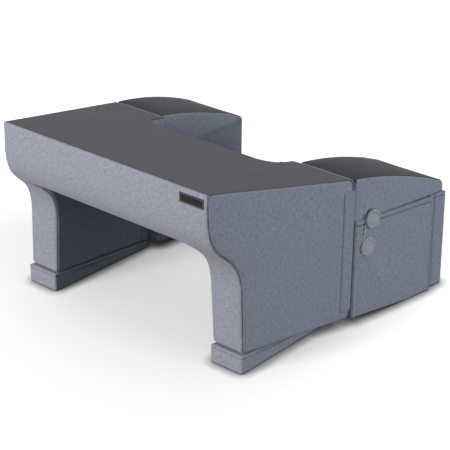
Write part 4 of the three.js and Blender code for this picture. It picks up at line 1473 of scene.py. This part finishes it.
def outside_stand(y, z):
    """How far the outermost surface at the strap stands out: the pocket with its hem, or the wing above."""
    h = (z - pocket_bottom_z(y)) / (mouth_z(y) - pocket_bottom_z(y))
    pocket = CLEARANCE + panel_gap(y, np.minimum(h, 1)) + POCKET_SKIN + STRAP_POCKET_CLEARANCE
    pocket += np.where(z > mouth_z(y) - HEM_WIDTH, HEM_RISE, 0)
    return np.where(h < 1, pocket, 0) + STRAP_CLEARANCE


def strap():
    t = np.linspace(0, 1, 150)[:, None]
    y, z = (mix(start, end, t) for start, end in zip(STRAP_TOP, STRAP_END))
    lay = np.pad(outside_stand(y, z)[:, 0], len(STRAP_EASE) // 2, mode="edge")
    lay = np.convolve(lay, STRAP_EASE, "valid")[:, None]
    across = np.linspace(-1, 1, 9)[None]
    rise = STRAP_RISE * np.sqrt(1 - STRAP_ROUND * across**2)
    y = y + across * STRAP_WIDTH / 2
    points = stack(wing_x(y, z) + lay + rise, y, z)
    level = np.zeros(points.shape[:2])
    return with_rim(points, grid_normals(points, N_WING_SIDE), level, pushed_in(STRAP_RISE))


for side, flip in SIDES.items():
    wing = f"wing_{side}"
    for level in ("upper", "lower"):
        button(f"pocket_button_{level}_{side}", wing, flip)
    cloth(f"strap_{side}", wing, strap(), BUTTON_FABRIC, "cover_fabric", [f"pocket_strap_{side}"], flip)

# Hinge flaps
FLAP_RISE = 0.0033  # over the tape on the desk's side
FLAP_EDGE_RISE = 0.0029
FLAP_RAMP = 0.0045
FLAP_END_RAMP = 0.010  # at its top and bottom
FLAP_RADIUS = 0.0012
FLAP_END_RISE = 0.0006  # at the hinge
FLAP_REACH = 0.0045  # onto the wing, under the pocket's edge
FLAP_FALL = 0.006  # length over which it comes down to the wing
HINGE_DIP = 0.0018
HINGE_DIP_RAMP = 0.0023
FLAP_BEND = (0.0034, 0.0021)  # depth and width
FLAP_SWELL = 0.0002
FLAP_SHADE = 0.4  # a bend that opens with the wing is shaded less than a seam
FLAP_STITCH = 0.0034
FLAP_RETURN = 0.0015


def hinge_flap():
    reach = HINGE_GAP + FLAP_REACH
    d, z = crossed(
        mix(-FLAP_OVERLAP, reach, stations(FLAP_OVERLAP + reach, zone=0.005, fine=0.0006, coarse=0.0015)),
        mix(FLAP_BOTTOM_Z, FLAP_TOP_Z, stations(FLAP_TOP_Z - FLAP_BOTTOM_Z, zone=0.012, fine=0.001)),
    )
    y = rear_y(z) + d
    lift = smooth((d + FLAP_OVERLAP) / FLAP_RAMP)
    ends = smooth((z - FLAP_BOTTOM_Z) / FLAP_END_RAMP) * smooth((FLAP_TOP_Z - z) / FLAP_END_RAMP)
    rise = mix(FLAP_EDGE_RISE, FLAP_RISE, lift * ends) * smooth((reach - d) / FLAP_FALL)
    rise += FLAP_END_RISE * smooth(1 - (reach - d) / FLAP_FALL)
    rise -= HINGE_DIP * smooth((d - HINGE_GAP / 2) / HINGE_DIP_RAMP)
    x = np.where(d < 0, side_x(np.minimum(y, rear_y(z)), z), wing_x(np.maximum(y, wing_front_y(z)), z))
    points = stack(x + rise, y, z)
    bend = points[np.argmin(np.abs(d[:, 0] - HINGE_GAP))]
    creases = [(bend, *FLAP_BEND)]
    points, lean, groove = sew_flat(points, FLAP_RADIUS, FLAP_SWELL, FLAP_SWELL, creases, towards=N_SIDE)
    return points, lean, groove * FLAP_SHADE


flap_grid = hinge_flap()
for side, flip in SIDES.items():
    points, lean, groove = with_rim(*flap_grid, pushed_in(FLAP_RETURN))
    flap = sheet(f"flap_cloth_{side}", (points * flip, lean * flip, groove), FABRIC)
    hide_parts(f"hinge_flap_{side}")
    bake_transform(flap)
    stitches(f"stitches_flap_{side}", "desk", [line_on(flap_grid, 0, FLAP_STITCH)], flip)

# Finish of the frame nodes that stay
FINISH = {"top_board": BOARD, "foot_fastener": TAPE, "hinge_fastener": TAPE}
for name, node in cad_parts.items():
    node.data.materials.clear()
    node.data.materials.append(FINISH.get(name.removesuffix("_right").removesuffix("_left"), FABRIC))

# Studio
FLOOR_SIZE = 12
FLOOR_MIDDLE = (-0.12, -0.30, -0.0005)
FLOOR_COLOUR = (0.86, 0.845, 0.835, 1)
FLOOR_BOUNCE = (0.01, 0.03, 0.04, 1)  # for light that goes on to the desk
FLOOR_GLOW = (1.0, 0.97, 0.96, 1)
# Strength of the glow from the middle out to the white background, over metres: weaker near the desk, which
# leaves a painted shade round it
FLOOR_SWEEP = {"From Min": 0.40, "From Max": 0.85, "To Min": 0.31, "To Max": 0.65}
CONTACT_REACH = 0.025  # of the painted contact shade where something stands on the floor
CONTACT_POWER = 3.0
SKY_LIGHT = 0.52
SKY_COLOUR = (0.93, 1.0, 1.05, 1)
WHITE = (1, 1, 1, 1)


def seen_ray(tree):
    """1 for rays from the camera, straight or by way of gloss or glass."""
    rays = tree.nodes.new("ShaderNodeLightPath").outputs
    glossy = calc("MAXIMUM", rays["Is Camera Ray"], rays["Is Glossy Ray"])
    return calc("MAXIMUM", glossy, rays["Is Transmission Ray"])


def studio_floor():
    bpy.ops.mesh.primitive_plane_add(size=FLOOR_SIZE, location=FLOOR_MIDDLE)
    floor = bpy.context.object
    floor.name = "floor"
    material, tree = node_material("floor")
    seen = seen_ray(tree)
    # painted contact shade: ambient occlusion darkens the floor's colour and its glow where something stands
    # on it
    shade = {"Distance": CONTACT_REACH, "Color": FLOOR_COLOUR}
    painted_contact_shade = shader_node(tree, "AmbientOcclusion", shade, samples=12).node.outputs
    place = shader_node(tree, "TexCoord", output="Object")
    away = shader_node(tree, "VectorMath", {0: place}, "Value", operation="LENGTH")
    sweep = {"Value": away, **FLOOR_SWEEP}
    sweep = shader_node(tree, "MapRange", sweep, "Result", interpolation_type="SMOOTHSTEP")
    glow = calc("MULTIPLY", calc("POWER", painted_contact_shade["AO"], CONTACT_POWER), sweep)
    surface(material, {
        "Base Color": either(seen, FLOOR_BOUNCE, painted_contact_shade["Color"]),
        "Roughness": 1,
        "Specular IOR Level": 0,
        "Emission Color": FLOOR_GLOW,
        "Emission Strength": calc("MULTIPLY", glow, seen),
    })
    floor.data.materials.append(material)


def sky():
    world = bpy.data.worlds.new("studio")
    world.use_nodes = True
    bpy.context.scene.world = world
    shown = seen_ray(world.node_tree)
    strength = calc("ADD", calc("MULTIPLY", shown, 1 - SKY_LIGHT), SKY_LIGHT)
    colour = either(shown, SKY_COLOUR, WHITE)
    feed(world.node_tree.nodes["Background"], {"Color": colour, "Strength": strength})


LAMP_TARGET = (0, 0, 0.2)


def softbox(name, place, size, power, colour):
    light = put(bpy.data.lights.new(name, "AREA"), shape="DISK", size=size, energy=power, color=colour)
    aim = Vector(LAMP_TARGET) - Vector(place)
    put(add_object(name, light), location=place, rotation_euler=aim.to_track_quat("-Z", "Y").to_euler())


CAMERA_PLACE = (1.86894, -2.14498, 1.50132)
CAMERA_AZIMUTH = math.radians(40.462)
CAMERA_ELEVATION = math.radians(25.616)
CAMERA_ROLL = math.radians(0.42)
CAMERA_LENS = 118.5
CAMERA_SENSOR = 36


def camera():
    data = put(bpy.data.cameras.new("camera"), lens=CAMERA_LENS, sensor_width=CAMERA_SENSOR)
    eye = add_object("camera", data)
    aim = Euler((math.pi / 2 - CAMERA_ELEVATION, 0, CAMERA_AZIMUTH)).to_matrix()
    roll = Matrix.Rotation(CAMERA_ROLL, 3, "Z")
    put(eye, location=CAMERA_PLACE, rotation_euler=(aim @ roll).to_euler())
    bpy.context.scene.camera = eye


studio_floor()
sky()
softbox("key", place=(-1.0, -3.35, 1.85), size=1.4, power=70, colour=(1.0, 0.95, 0.90))
softbox("low", place=(-0.9, -3.4, 0.22), size=1.2, power=78, colour=(1.0, 0.96, 0.94))
softbox("fill", place=(3.5, 0.3, 0.55), size=1.2, power=40, colour=(0.95, 1.0, 1.04))
camera()
bpy.context.scene.view_settings.view_transform = "Standard"
